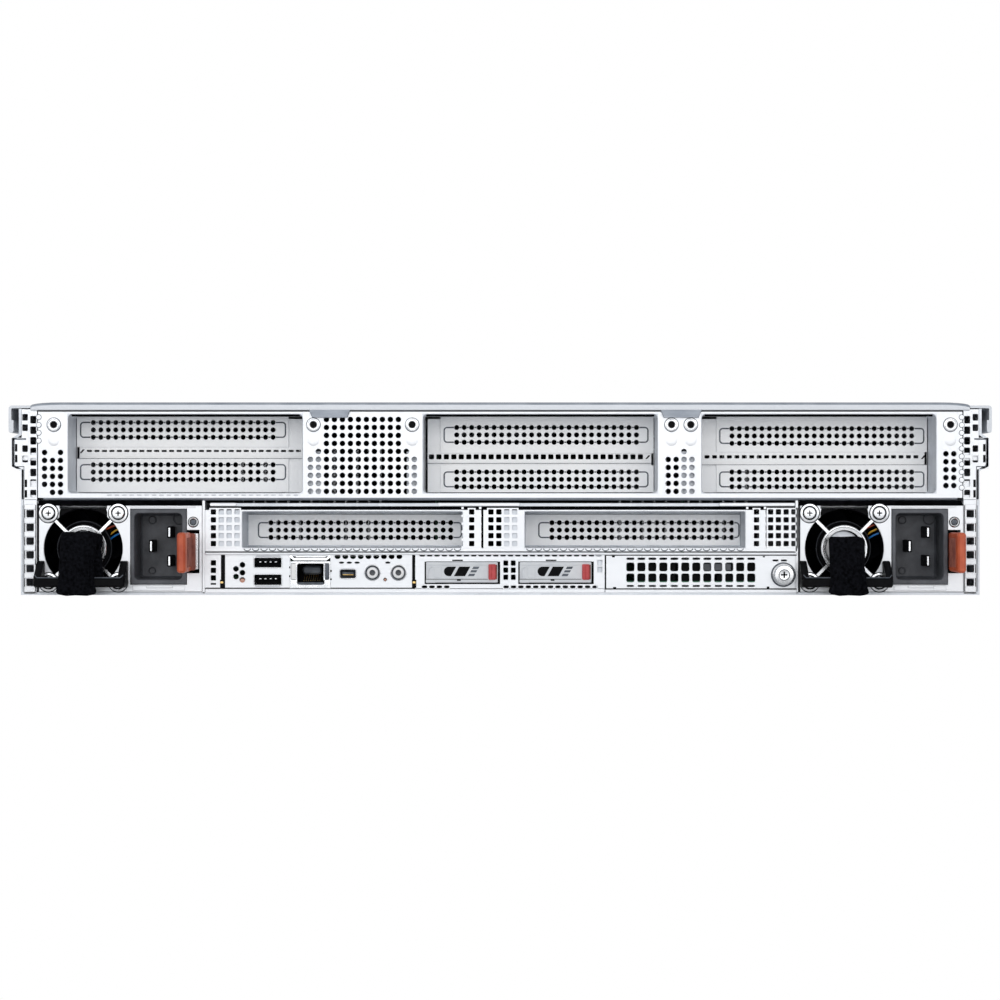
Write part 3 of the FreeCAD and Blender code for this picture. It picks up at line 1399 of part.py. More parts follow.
faults = [item.Label for item in doc.Objects if {"Invalid", "Error"} & set(item.State)]
faults += [item.Label for item in subparts if item.Shape.isNull() or not item.Shape.isValid()]
if faults:
    raise RuntimeError("not built: " + ", ".join(faults))
os.makedirs("parts", exist_ok=True)
for item in subparts:
    item.Shape.exportStep(f"parts/{item.Label}.step")
print(len(subparts), "sub-parts written")
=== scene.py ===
import math
import bmesh
import bpy
import numpy as np
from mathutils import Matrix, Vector


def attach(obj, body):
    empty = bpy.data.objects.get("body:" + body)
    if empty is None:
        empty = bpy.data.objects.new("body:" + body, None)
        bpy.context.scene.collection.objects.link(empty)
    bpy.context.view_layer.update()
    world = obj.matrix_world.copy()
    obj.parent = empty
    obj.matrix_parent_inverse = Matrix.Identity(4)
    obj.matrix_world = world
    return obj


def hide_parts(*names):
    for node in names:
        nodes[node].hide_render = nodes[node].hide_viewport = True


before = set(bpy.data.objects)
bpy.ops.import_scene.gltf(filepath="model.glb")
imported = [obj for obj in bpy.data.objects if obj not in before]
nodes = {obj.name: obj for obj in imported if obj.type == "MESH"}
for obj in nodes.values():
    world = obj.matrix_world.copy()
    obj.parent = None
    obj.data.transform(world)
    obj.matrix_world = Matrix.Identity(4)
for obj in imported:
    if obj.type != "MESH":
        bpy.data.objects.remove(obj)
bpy.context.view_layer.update()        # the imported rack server: its nodes, bodies and joints
print("frame loaded", len(nodes), "nodes")

# Camera: straight behind the machine, where the photograph was taken from.
cameraValues = {"distance": 1.618, "height": 0.0429, "lens": 99.6, "sensor": 36}
cameraData = bpy.data.cameras.new("rearCamera")
cameraData.lens = cameraValues["lens"]
cameraData.sensor_width = cameraValues["sensor"]
cameraData.clip_end = 50
camera = bpy.data.objects.new("rearCamera", cameraData)
camera.location = (-0.0001, -cameraValues["distance"], cameraValues["height"])
camera.rotation_euler = (math.radians(90), 0, 0)
bpy.context.scene.collection.objects.link(camera)
bpy.context.scene.camera = camera
bpy.context.scene.view_settings.view_transform = "Standard"


def linear(hexColour):
    # sRGB hex to linear light, channel by channel.
    values = np.array([int(hexColour[i:i + 2], 16) for i in (1, 3, 5)]) / 255
    values = np.where(values <= 0.04045, values / 12.92, ((values + 0.055) / 1.055) ** 2.4)
    return (*values.tolist(), 1)


def addNode(tree, kind, settings=None, links=None):
    # One node with its own settings, its socket values and what feeds it.
    node = tree.nodes.new(kind)
    for name, value in (settings or {}).items():
        if hasattr(node, name):
            setattr(node, name, value)
        else:
            node.inputs[name].default_value = value
    for name, source in (links or {}).items():
        tree.links.new(source, node.inputs[name])
    return node


# Each finish: the pale and the deep colour that the coarse pattern mixes, how far it is metal, its roughness
# range, the coarse pattern's and the fine grain's size in mm and the grain's height in mm. The last value,
# where there is one, holds what few finishes have: "stretch" draws the fine grain out along one axis, as
# rolling or brushing does.
finishes = {
    # hot-dip galvanised steel, cold rolled: pale blue-grey with soft cloudy spangle
    "galvanisedSteel": ("#E7E9ED", "#E2E5E9", 0.6, (0.36, 0.5), 26, 0.9, 0.012),
    # the same coating made pure white for the plates inside the recesses: painted light against their shade
    "paintedLightZinc": ("#FFFFFF", "#FAFBFC", 0.1, (0.4, 0.55), 26, 0.9, 0.01),
    # the same sheet made darker for folded inner faces, walls and ends: painted shade, with rolling lines;
    # also the pale plate on the fan hubs
    "greySteelAndShade": ("#D6DAE0", "#C4C9D0", 0.6, (0.38, 0.55), 18, 1.1, 0.015),
    # zinc-coated cover sheet, rolled: faint lines along the machine
    "rolledCoverSteel": ("#CCD0D6", "#C8CCD2", 0.5, (0.42, 0.56), 60, 0.8, 0.008, {"stretch": (1, 14, 1)}),
    # zinc sheet darkened where it is rolled over: mid grey, painted shade
    "paintedShadeZinc": ("#9CA2AB", "#848B95", 0.6, (0.4, 0.55), 12, 0.7, 0.01, {"stretch": (14, 1, 1)}),
    # sheared steel edge in a stamped line: dark and matt; the same grey paints shadow lines on the pan's
    # flanges and a highlight on the supply handles
    "stampedLineAndPaintedLight": ("#6B717A", "#444A52", 0.4, (0.5, 0.7), 6, 0.6, 0.01),
    # nickel-plated brass and steel of ports, screws and rings: bright
    "nickelPlate": ("#E9EAEC", "#C9CCD0", 1, (0.16, 0.3), 5, 0.5, 0.006),
    # gold-plated contact springs
    "goldPlate": ("#E6C98C", "#C9A45C", 1, (0.2, 0.35), 3, 0.4, 0.003),
    # extruded aluminium fins, brushed
    "brushedAluminium": ("#D9DBDD", "#B9BCC0", 1, (0.25, 0.4), 12, 0.5, 0.01, {"stretch": (1, 10, 1)}),
    # glass-filled polyester of fans and handles, moulded: deep black, fine grain; the same black paints shade
    # in screw bores, driver recesses, slots, edge lines, the inlet pins' sides and inside the supply cases
    "blackPlasticAndShade": ("#0D0E11", "#040406", 0, (0.4, 0.6), 9, 0.7, 0.02, {"specular": 0.06}),
    # flat black without shine: painted shade in gaps, in a vent and inside the machine
    "paintedShadeBlack": ("#0D0D10", "#020203", 0, (0.9, 1), 3, 0.6, 0.2, {"specular": 0.02}),
    # polyamide of the mains inlet, moulded with a spark-eroded grain: dark blue-grey
    "inletPolyamide": ("#5F6269", "#45484E", 0, (0.42, 0.62), 7, 0.55, 0.06),
    # polycarbonate blend of the release tab, moulded: burnt orange
    "terracottaBlend": ("#D0633C", "#B0431F", 0, (0.35, 0.5), 7, 0.6, 0.02),
    # the sides of the tab and of the boot latches: a browner, duller copy, painted shade
    "paintedShadeTerracotta": ("#9C5A4A", "#6E3429", 0, (0.5, 0.65), 5, 0.6, 0.03),
    # ABS finger latches, moulded: warm red
    "redAbs": ("#C9484A", "#AE3236", 0, (0.35, 0.5), 5, 0.5, 0.015),
    # ABS bezels and trays, moulded: light grey
    "greyAbs": ("#E2E5E9", "#D0D4DA", 0, (0.4, 0.55), 8, 0.6, 0.02),
    # polycarbonate of ears and front bezels, moulded: graphite; the same grey paints a highlight round the
    # fan hubs' rims
    "graphiteAbsAndHighlight": ("#4A4D53", "#34363B", 0, (0.38, 0.55), 10, 0.6, 0.02),
    # nylon hook-and-loop tape, brushed pile: black and fuzzy
    "brushedNylon": ("#15161B", "#020203", 0, (0.85, 1), 1.3, 0.45, 0.35, {"specular": 0.03, "sheen": 0.06}),
    # glass-epoxy laminate with solder mask: green with a soft shine
    "solderMask": ("#1F6B46", "#124A30", 0, (0.3, 0.45), 6, 1.2, 0.02),
    # polymer white ring of a lit button: milky
    "milkyPolycarbonate": ("#FBFBFB", "#F0F1F3", 0, (0.3, 0.4), 4, 0.5, 0.005),
    # epoxy lens of an indicator light: amber
    "amberLens": ("#D8A28C", "#B58371", 0, (0.15, 0.25), 2, 0.5, 0.004),
    # insulated wires, extruded vinyl
    "blueVinyl": ("#2E86D6", "#1F6FBC", 0, (0.3, 0.45), 3, 0.5, 0.01),
    "yellowVinyl": ("#F0C24A", "#D9A52F", 0, (0.3, 0.45), 3, 0.5, 0.01),
    "redVinyl": ("#C9542F", "#A33E20", 0, (0.3, 0.45), 3, 0.5, 0.01),
}
made = {}


def material(name):
    # Coarse noise mixes the two colours and shifts the roughness, fine noise lifts the surface.
    if name in made:
        return made[name]
    pale, deep, metal, (low, high), cloudSize, grainSize, grainHeight, *more = finishes[name]
    extra = more[0] if more else {}
    result = bpy.data.materials.new(name)
    result.use_nodes = True
    tree = result.node_tree
    shader = tree.nodes["Principled BSDF"]
    place = addNode(tree, "ShaderNodeTexCoord")
    turn = addNode(tree, "ShaderNodeMapping", links={"Vector": place.outputs["Object"]})
    turn.inputs["Scale"].default_value = [1 / axis for axis in extra.get("stretch", (1, 1, 1))]
    cloud = addNode(tree, "ShaderNodeTexNoise", {"Scale": 1000 / cloudSize, "Detail": 4, "Roughness": 0.55},
                    {"Vector": place.outputs["Object"]})
    grain = addNode(tree, "ShaderNodeTexNoise", {"Scale": 1000 / grainSize, "Detail": 3, "Roughness": 0.6},
                    {"Vector": turn.outputs["Vector"]})
    share = addNode(tree, "ShaderNodeMapRange", {"From Min": 0.32, "From Max": 0.68},
                    {"Value": cloud.outputs["Fac"]})
    blend = addNode(tree, "ShaderNodeMix", {"data_type": "RGBA"}, {"Factor": share.outputs["Result"]})
    blend.inputs[6].default_value = linear(deep)
    blend.inputs[7].default_value = linear(pale)
    rough = addNode(tree, "ShaderNodeMapRange", {"From Min": 0.3, "From Max": 0.7, "To Min": high,
                                                 "To Max": low},
                    {"Value": grain.outputs["Fac"]})
    bump = addNode(tree, "ShaderNodeBump", {"Distance": grainHeight / 1000, "Strength": 1},
                   {"Height": grain.outputs["Fac"]})
    tree.links.new(blend.outputs[2], shader.inputs["Base Color"])
    tree.links.new(rough.outputs["Result"], shader.inputs["Roughness"])
    tree.links.new(bump.outputs["Normal"], shader.inputs["Normal"])
    shader.inputs["Metallic"].default_value = metal
    shader.inputs["Specular IOR Level"].default_value = extra.get("specular", 0.5)
    if "sheen" in extra:
        shader.inputs["Sheen Weight"].default_value = extra["sheen"]
        shader.inputs["Sheen Roughness"].default_value = 0.6
        shader.inputs["Sheen Tint"].default_value = linear("#3A3C46")
    made[name] = result
    return result


# CAD nodes that stay as they are, each with its finish.
nodeFinishes = {
    "blackPlasticAndShade": ("fan_rotor", "fan_frames", "rotor", "supply_left_fan", "supply_right_fan", "memory"),
    "brushedAluminium": ("heatsink",),
    "solderMask": ("motherboard", "backplane"),
    "graphiteAbsAndHighlight": ("drive_carrier", "rack_ear", "slam_latch"),
    "greyAbs": ("power_button", "boot_drive_left", "boot_drive_right"),
    "rolledCoverSteel": ("top_cover", "cover_lever"),
    "nickelPlate": ("port", "thumbscrew", "screws", "button"),
    "terracottaBlend": ("_latch", "drive_lever"),
    "redAbs": ("boot_latch",),
    "inletPolyamide": ("inlet",),
    "brushedNylon": ("strap",),
}


def dressNode(name):
    # The longest word of the table that the node's name holds gives its finish.
    chosen, length = "galvanisedSteel", 0
    for finish, words in nodeFinishes.items():
        for word in words:
            if word in name and len(word) > length:
                chosen, length = finish, len(word)
    slots = nodes[name].data.materials
    slots.clear()
    slots.append(material(chosen))


for nodeName in nodes:
    dressNode(nodeName)
print("finishes on the CAD nodes")


def surface(points, wrap=False, flip=False):
    # A grid of points (rows by columns, or several such grids) with a quad between neighbours.
    points = np.asarray(points, float)
    rows, columns = points.shape[-3:-1]
    across = columns if wrap else columns - 1
    row, column = np.meshgrid(np.arange(rows - 1) * columns, np.arange(across), indexing="ij")
    after = (column + 1) % columns
    quads = np.stack([row + column, row + after, row + columns + after, row + columns + column], -1)
    count = points.size // (3 * rows * columns)
    faces = np.arange(count)[:, None, None, None] * rows * columns + quads
    faces = faces.reshape(-1, 4)
    return points.reshape(-1, 3), faces[:, ::-1] if flip else faces


def makePiece(name, parts, body, slotName, *replaced, crease=32):
    # Joins surfaces in mm, given as {finish: [surface, ...]}, into one piece that rides on a body.
    points, faces, slots, start = [], [], [], 0
    for place, group in enumerate(parts.values()):
        for corners, quads in group:
            points.append(corners)
            faces.append(quads + start)
            slots.append(np.full(len(quads), place))
            start += len(corners)
    points, faces, slots = np.concatenate(points) / 1000, np.concatenate(faces), np.concatenate(slots)
    mesh = bpy.data.meshes.new(name)
    mesh.vertices.add(len(points))
    mesh.vertices.foreach_set("co", points.ravel().astype(np.float32))
    mesh.loops.add(faces.size)
    mesh.loops.foreach_set("vertex_index", faces.ravel().astype(np.int32))
    mesh.polygons.add(len(faces))
    mesh.polygons.foreach_set("loop_start", np.arange(0, faces.size, 4, dtype=np.int32))
    mesh.polygons.foreach_set("material_index", slots.astype(np.int32))
    mesh.update(calc_edges=True)
    work = bmesh.new()
    work.from_mesh(mesh)
    bmesh.ops.remove_doubles(work, verts=work.verts, dist=2e-6)
    work.to_mesh(mesh)
    work.free()
    mesh.validate()
    for finish in parts:
        mesh.materials.append(material(finish))
    mesh.shade_smooth()
    mesh.set_sharp_from_angle(angle=math.radians(crease))
    piece = bpy.data.objects.new(name, mesh)
    bpy.context.scene.collection.objects.link(piece)
    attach(piece, body)
    if replaced:
        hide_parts(*replaced)
    print("made", name, len(mesh.polygons), "faces")
    return piece


def ring(count, start=0.0):
    # Angles once round, without the last one repeated.
    return start + np.arange(count) * 2 * math.pi / count


def roundedLoop(width, height, radius, steps=4):
    # A rectangle with round corners: each corner is a quarter circle of the radius about its own centre.
    angles = (np.arange(4)[:, None] + np.linspace(0, 1, steps)) * math.pi / 2
    signX = np.array([1, -1, -1, 1])[:, None]
    signZ = np.array([1, 1, -1, -1])[:, None]
    x = signX * (width / 2 - radius) + radius * np.cos(angles)
    z = signZ * (height / 2 - radius) + radius * np.sin(angles)
    return np.stack([x, z], -1).reshape(-1, 2)


def turnAxes(points, axis):
    # Points drawn across x and z with depth along y, laid along another axis instead.
    orders = {"y": (0, 1, 2), "x": (1, 0, 2), "z": (0, 2, 1)}
    return points[..., list(orders[axis])]


def atDepth(outline, y):
    # (x, z) corners laid at one depth.
    return np.stack([outline[:, 0], np.full(len(outline), y), outline[:, 1]], -1)


def block(x, y, z, radius=0.3, edge=0.2, axis="y", steps=3):
    # A box with round corners across its axis and bevelled ends: the loop shrinks by the edge at both ends.
    spans = {"x": (y, x, z), "y": (x, y, z), "z": (x, z, y)}[axis]
    (left, right), (near, far), (low, high) = spans
    rows = []
    small = min(right - left, high - low) / 2
    radius, edge = min(radius, small * 0.98), min(edge, small * 0.9, (far - near) * 0.45)
    for depth, inset, shrink in ((near, edge, 0), (near, edge, 1), (near + edge, 0, 1), (far - edge, 0, 1),
                                 (far, edge, 1), (far, edge, 0)):
        loop = roundedLoop(right - left - 2 * inset, high - low - 2 * inset, max(radius - inset, 0.01), steps)
        rows.append(atDepth(loop * shrink + [(left + right) / 2, (low + high) / 2], depth))
    return surface(turnAxes(np.array(rows), axis), wrap=True, flip=axis == "y")


def turned(profile, centre, segments=32, axis="y"):
    # A profile of (radius, depth) pairs turned once round an axis through the centre. It may be listed either
    # way: a loop or a profile closed on the axis is turned by its signed area, an open one by its two radii.
    profile = np.asarray(profile, float)
    radius, depth = profile.T
    backward = radius[0] > radius[-1]
    if radius[0] == radius[-1]:
        backward = (radius[:-1] * depth[1:] - radius[1:] * depth[:-1]).sum() < 0
    angles = ring(segments)
    points = np.empty((len(profile), segments, 3))
    points[..., 0] = profile[:, :1] * np.cos(angles) + centre[0]
    points[..., 1] = profile[:, 1:] + centre[1]
    points[..., 2] = profile[:, :1] * np.sin(angles) + centre[2]
    return surface(turnAxes(points, axis), wrap=True, flip=(axis == "y") != backward)


def holeCells(x, z, cell, hole, power, depth, edge=0.1, count=12):
    # Plates with one hole each, all at once: a ring of points on the cell's rim, the same ring on the hole's
    # rim, the hole's wall, and the cell's rim again behind. The hole is a superellipse, x = a cos^(2/power),
    # z alike.
    x, z = np.broadcast_arrays(np.asarray(x, float), np.asarray(z, float))
    x, z = x.ravel()[:, None], z.ravel()[:, None]
    angles = ring(count, math.pi / 4)
    rimX, rimZ = (np.sign(part) * abs(part) ** (2 / power) for part in (np.cos(angles), np.sin(angles)))
    side = np.arange(count) // (count // 4)
    along = (np.arange(count) % (count // 4)) / (count // 4)
    cornerX, cornerZ = np.array([1, -1, -1, 1]), np.array([1, 1, -1, -1])
    outX = cornerX[side] * (1 - along) + cornerX[(side + 1) % 4] * along
    outZ = cornerZ[side] * (1 - along) + cornerZ[(side + 1) % 4] * along
    near, far = depth
    rows = []
    for loopX, loopZ, size, grow, y in ((outX, outZ, cell, 0, near), (rimX, rimZ, hole, edge, near),
                                        (rimX, rimZ, hole, 0, near + edge), (rimX, rimZ, hole, 0, far),
                                        (outX, outZ, cell, 0, far)):
        row = np.empty((len(x), count, 3))
        row[..., 0] = x + loopX * (size[0] / 2 + grow)
        row[..., 1] = y
        row[..., 2] = z + loopZ * (size[1] / 2 + grow)
        rows.append(row)
    return surface(np.stack(rows, 1), wrap=True)


def flat(x, z, depth):
    # A plain plate over a rectangle between two depths: front, back and the four narrow sides.
    return block(x, depth, z, radius=0.02, edge=0.02, steps=2)


def blocks(x, y, *table):
    # Blocks placed from a point: each row is its x, depth and z spans, its corner radius and its edge.
    return [block((x + left, x + right), (y + near, y + far), (low, high), radius, edge)
            for left, right, near, far, low, high, radius, edge in table]


def flats(x, y, *table):
    # Plain plates placed the same way: each row is its x, z and depth spans.
    return [flat((x + left, x + right), (low, high), (y + near, y + far))
            for left, right, low, high, near, far in table]


def panel(x, z, depth, columns, rows, kept=None, hole=(2.4, 2.4), power=2, edge=0.1, count=12):
    # A rectangular plate with a lattice of holes. columns and rows are (first centre, pitch, number),
    # kept says which lattice cells have their hole, and what is left over is plain plate.
    (x0, x1), (z0, z1) = x, z
    firstX, pitchX, numberX = columns
    firstZ, pitchZ, numberZ = rows
    centresX = firstX + pitchX * np.arange(numberX)
    centresZ = firstZ + pitchZ * np.arange(numberZ)
    kept = np.ones((numberZ, numberX), bool) if kept is None else np.asarray(kept, bool)
    gridX, gridZ = np.meshgrid(centresX, centresZ)
    parts = [holeCells(gridX[kept], gridZ[kept], (pitchX, pitchZ), hole, power, depth, edge, count)]
    left, right = centresX[0] - pitchX / 2, centresX[-1] + pitchX / 2
    low, high = centresZ[0] - pitchZ / 2, centresZ[-1] + pitchZ / 2
    for spanX, spanZ in (((x0, left), (z0, z1)), ((right, x1), (z0, z1)), ((left, right), (z0, low)),
                         ((left, right), (high, z1))):
        if spanX[1] - spanX[0] > 0.01 and spanZ[1] - spanZ[0] > 0.01:
            parts.append(flat(spanX, spanZ, depth))
    for bareX, bareZ in zip(gridX[~kept], gridZ[~kept]):
        parts.append(flat((bareX - pitchX / 2, bareX + pitchX / 2), (bareZ - pitchZ / 2, bareZ + pitchZ / 2),
                          depth))
    return parts


def swept(path, section, up=(0, 0, 1)):
    # A closed section of (side, up) pairs carried along a path, square to it, with both ends closed.
    path, section = np.asarray(path, float), np.asarray(section, float)
    along = np.gradient(path, axis=0)
    along /= np.linalg.norm(along, axis=1)[:, None]
    side = np.cross(along, np.asarray(up, float))
    side /= np.linalg.norm(side, axis=1)[:, None]
    lift = np.cross(side, along)
    rows = path[:, None] + side[:, None] * section[None, :, :1] + lift[:, None] * section[None, :, 1:]
    ends = [path[None, place].repeat(len(section), 1) for place in (slice(0, 1), slice(-1, None))]
    rows = np.concatenate([ends[0], rows, ends[1]])
    return surface(rows, wrap=True, flip=True)


def closedEnds(rows):
    # A stack of loops with both ends drawn together onto their middle points.
    first, last = (end.mean(1, keepdims=True).repeat(rows.shape[1], 1) for end in (rows[:1], rows[-1:]))
    return np.concatenate([first, rows, last])


def roundSection(radius, count=8):
    angles = ring(count)
    return np.stack([np.cos(angles), np.sin(angles)], -1) * radius


print("tools ready")


def loopWall(x, z, radius, depths, insets, steps=6):
    # Rounded rectangles at several depths, each drawn in by its inset: a recess, a rim or a boss.
    rows = []
    for y, inset in zip(depths, insets):
        loop = roundedLoop(x[1] - x[0] - 2 * inset, z[1] - z[0] - 2 * inset, max(radius - inset, 0.02), steps)
        rows.append(atDepth(loop + [sum(x) / 2, sum(z) / 2], y))
    return rows


def closedFloor(row, x, z):
    # A loop drawn together onto the middle of a rectangle at its own depth, which closes a floor or a head.
    return row * [0, 1, 0] + np.array([sum(x) / 2, 0, sum(z) / 2])


def socket(x, z, radius, wall, front, depth, length, steps=6):
    # A shell open toward the viewer: its outside, its rim, its cavity's wall and the cavity's floor.
    inner = ((x[0] + wall, x[1] - wall), (z[0] + wall, z[1] - wall))
    bevel = min(wall / 3, 0.35)
    rows = loopWall(x, z, radius, (front + length, front + bevel, front), (0, 0, bevel), steps)
    rows += loopWall(*inner, max(radius - wall, 0.3), (front, front + bevel, front + depth), (-bevel, 0, 0),
                     steps)
    rows.append(closedFloor(rows[-1], x, z))
    return surface(np.array(rows), wrap=True)


def piercedPlate(x, z, depth, openings, margin=0.25, count=24):
    # A plate with openings of several sizes, each (centre x, centre z, width, height, power). Every opening
    # gets a cell a margin wider than itself; the rest is cut along the cells' edges into plain strips.
    parts, boxes = [], []
    for centreX, centreZ, wide, high, power in openings:
        cell = (wide + 2 * margin, high + 2 * margin)
        parts.append(holeCells([centreX], [centreZ], cell, (wide, high), power, depth, 0.1, count))
        boxes.append((centreX - wide / 2 - margin, centreX + wide / 2 + margin,
                      centreZ - high / 2 - margin, centreZ + high / 2 + margin))
    levels = sorted({z[0], z[1], *(min(max(edge, z[0]), z[1]) for box in boxes for edge in box[2:])})
    for low, high in zip(levels[:-1], levels[1:]):
        middle = (low + high) / 2
        start = x[0]
        for left, right, under, over in sorted(boxes):
            if under < middle < over:
                if left - start > 0.02:
                    parts.append(flat((start, left), (low, high), depth))
                start = right
        if x[1] - start > 0.02:
            parts.append(flat((start, x[1]), (low, high), depth))
    return parts


def prism(outline, front, back, bevel=0.15):
    # A flat outline of (x, z) corners carried from front to back, its front edge bevelled toward the middle.
    outline = np.asarray(outline, float)
    x, z = outline.T
    if (x * np.roll(z, -1) - z * np.roll(x, -1)).sum() < 0:
        outline = outline[::-1]
    middle = outline.mean(0)
    away = outline - middle
    reach = np.linalg.norm(away, axis=1)[:, None]
    rows = []
    for y, inset in ((front, None), (front, bevel), (front + bevel, 0), (back, 0), (back, None)):
        rows.append(atDepth(middle + away * (0 if inset is None else (reach - inset) / reach), y))
    return surface(np.array(rows), wrap=True, flip=True)


def slats(x0, x1, z0, z1, depth):
    # Many small straight bars at once: each is its rectangle behind, the same in front, and its closed face.
    x0, x1, z0, z1 = (np.asarray(value, float).ravel() for value in np.broadcast_arrays(x0, x1, z0, z1))
    rows = []
    for y, share in ((depth[1], 1), (depth[0], 1), (depth[0], 0)):
        row = np.empty((len(x0), 4, 3))
        row[..., 0] = ((x0 + x1) / 2)[:, None] + ((x1 - x0) / 2 * share)[:, None] * np.array([-1, -1, 1, 1])
        row[..., 1] = y
        row[..., 2] = ((z0 + z1) / 2)[:, None] + ((z1 - z0) / 2 * share)[:, None] * np.array([-1, 1, 1, -1])
        rows.append(row)
    return surface(np.stack(rows, 1), wrap=True, flip=True)


def marks(x, y, *table):
    # Dark bars drawn a little proud of a face: each row is its x and z spans and how far it stands out.
    return [slats([x + left], [x + right], [low], [high], (y - proud, y + 0.1))
            for left, right, low, high, proud in table]


def windowSurround(x, z, frontY, backY, sheet, corner, margin=0.3):
    # The rim of an opening and its side walls: a plain rectangle in front narrows to a loop with round
    # corners, runs back along the wall, turns round its rear edge and comes forward outside it.
    rows = []
    for grow, bend, y in ((margin, 0.01, frontY), (0.25, corner + 0.25, frontY), (0, corner, frontY + 0.25),
                          (0, corner, backY), (sheet, corner + sheet, backY),
                          (sheet, corner + sheet, frontY + sheet), (margin, 0.01, frontY + sheet),
                          (margin, 0.01, frontY)):
        loop = roundedLoop(x[1] - x[0] + 2 * grow, z[1] - z[0] + 2 * grow, bend, 5)
        rows.append(atDepth(loop + [sum(x) / 2, sum(z) / 2], y))
    return surface(np.array(rows), wrap=True)


# Upper rear frame: a stamped plate with three windows, vent fields, screw seats and a rolled lower lip.
rearPlate = {"rear": -368, "recess": -343, "sheet": 1.2, "low": 43.9, "high": 82.8, "lipRadius": 1.2,
             "windowLow": 46.1, "windowHigh": 81.6, "windowWidth": 105.8, "windows": (-195.2, -34.8, 91.1),
             "corner": 1.8, "margin": 0.3, "hole": 2.5, "seatX": (-201.7, -84.4, -39.8, 77.4, 86.1, 203.4),
             "screwZ": 76.9, "seatZ": 70, "brackets": ((-87.5, -80.6, 5), (-42.4, -37.2, 5), (82.0, 88.6, 4)),
             "scallopTop": 80.3, "scallopPitch": 3.54}
rearY = rearPlate["rear"]
plateDepth = (rearY, rearY + rearPlate["sheet"])
rimDepth = (rearPlate["recess"], rearPlate["recess"] + rearPlate["sheet"])
span = (rearPlate["low"], rearPlate["high"])
windowZ = (rearPlate["windowLow"], rearPlate["windowHigh"])
margin = rearPlate["margin"]
centreKept = np.ones((10, 14), bool)
centreKept[5, [0, 13]] = False
centreKept[6:, [0, 1, 12, 13]] = False
leftKept = np.ones((6, 3), bool)
leftKept[0, 0] = leftKept[5, 1] = False
betweenKept = np.ones((6, 4), bool)
betweenKept[5, [0, 1, 3]] = False
fields = (  # x span, columns, rows, and which cells keep their hole
    ((-208.8, -195.5), (-205.9, 3.6, 3), (46.35, 3.61, 6), leftKept),
    ((-89.1, -35.1), (-85.74, 3.61, 14), (46.8, 3.61, 10), centreKept),
    ((71.3, 90.8), (75.9, 3.57, 4), (46.8, 3.6, 6), betweenKept),
    ((197.2, 208.8), (201.4, 3.55, 2), (49.4, 3.6, 5), None),
)
plain, walls = [], []
# black strips of painted shadow: under the beam, and under the lip at both sides
shadowStrips = flats(0, rearY, (-131, 133.2, 38.5, 39.9, 0.9, 1.6), (-208.6, -134.8, 40.5, 42.6, -0.1, 0.6),
             (134.8, 208.6, 40.5, 42.6, -0.1, 0.6))
for across, columns, rows, kept in fields:
    plain += panel(across, span, plateDepth, columns, rows, kept, (rearPlate["hole"],) * 2)
for left in rearPlate["windows"]:
    right = left + rearPlate["windowWidth"]
    walls.append(windowSurround((left, right), windowZ, rearY, rearPlate["recess"], rearPlate["sheet"],
                                rearPlate["corner"]))
    # a black strip of painted shadow just inside each window's top
    shadowStrips += flats(0, rearY, (left + 1.3, right - 1.3, 80.7, windowZ[1] - 0.05, 1.5, 2.5))
    wide = (left - margin, right + margin)
    plain.append(flat(wide, (windowZ[1] + margin, rearPlate["high"]), plateDepth))
    under = (rearPlate["low"], windowZ[0] - margin)
    if left == rearPlate["windows"][0]:
        plain += panel(wide, under, plateDepth, (-176.6, 3.37, 26), (45.1, 0.9, 1), None, (2.1, 0.45), 8,
                       0.02)
    else:
        plain.append(flat(wide, under, plateDepth))
# rolled lip: a quarter circle turns the plate's lower edge under and forward along the machine
arc = np.linspace(0, math.pi / 2, 6)
radius = rearPlate["lipRadius"]
outer = np.stack([rearY + radius * (1 - np.cos(arc)), rearPlate["low"] - radius * np.sin(arc)], -1)
profile = np.concatenate([outer, [[-360, outer[-1, 1]], [-360, outer[-1, 1] + 0.9]],
                          outer[::-1] + [0.9, 0.6]])
lip = np.empty((2, len(profile), 3))
lip[..., 0] = np.array([-206.5, 206.5])[:, None]
lip[..., 1:] = profile
# brackets inside, seen through the outer columns of the vent fields
walls += flats(0, rearY, *((left, right, 44.6, 65, back, back + 1) for left, right,
                           back in rearPlate["brackets"]))
seats = [turned([(0, -0.14), (1.2, -0.13), (2.3, -0.1), (2.7, 0), (2.75, 0.1)],
                (x, rearY, rearPlate["seatZ"]), 28)
         for x in rearPlate["seatX"]]
beam = [block((-131, 133.2), (rearY + 0.5, -360), (40.0, 41.5), 0.2, 0.15)]
tabs = blocks(0, rearY, *((left, right, -0.3, 1.5, 40.1, 41.6, 0.5, 0.25) for left, right in
                          ((-131.2, -119.2), (-28.2, 8.9), (98.9, 133.2))))
# half-round scallops down both outer edges, each in its dark stamped line; the black strip under the beam is
# painted shadow
scallops, dark = [], []
for x, number in ((-208.5, 4), (208.5, 10)):
    for z in rearPlate["scallopTop"] - rearPlate["scallopPitch"] * np.arange(number):
        scallops.append(turned([(1.1, -0.05), (1.0, -0.3), (0, -0.34)], (x, rearY, z), 24))
        dark.append(turned([(1.3, -0.02), (1.2, -0.07), (1.1, -0.05)], (x, rearY, z), 24))
dark += marks(0, rearY, (-209.2, -208.9, 44.5, 66.5, 0.05))
# the window walls and the beam are the darkened sheet and the lip is darkened zinc: painted shade
makePiece("rearFrame", {"galvanisedSteel": plain + tabs + scallops + seats, "greySteelAndShade": walls + beam,
                        "paintedShadeZinc": [surface(lip, wrap=True)], "stampedLineAndPaintedLight": dark, "paintedShadeBlack": shadowStrips},
          "root", "zinc_steel", "rear_frame")

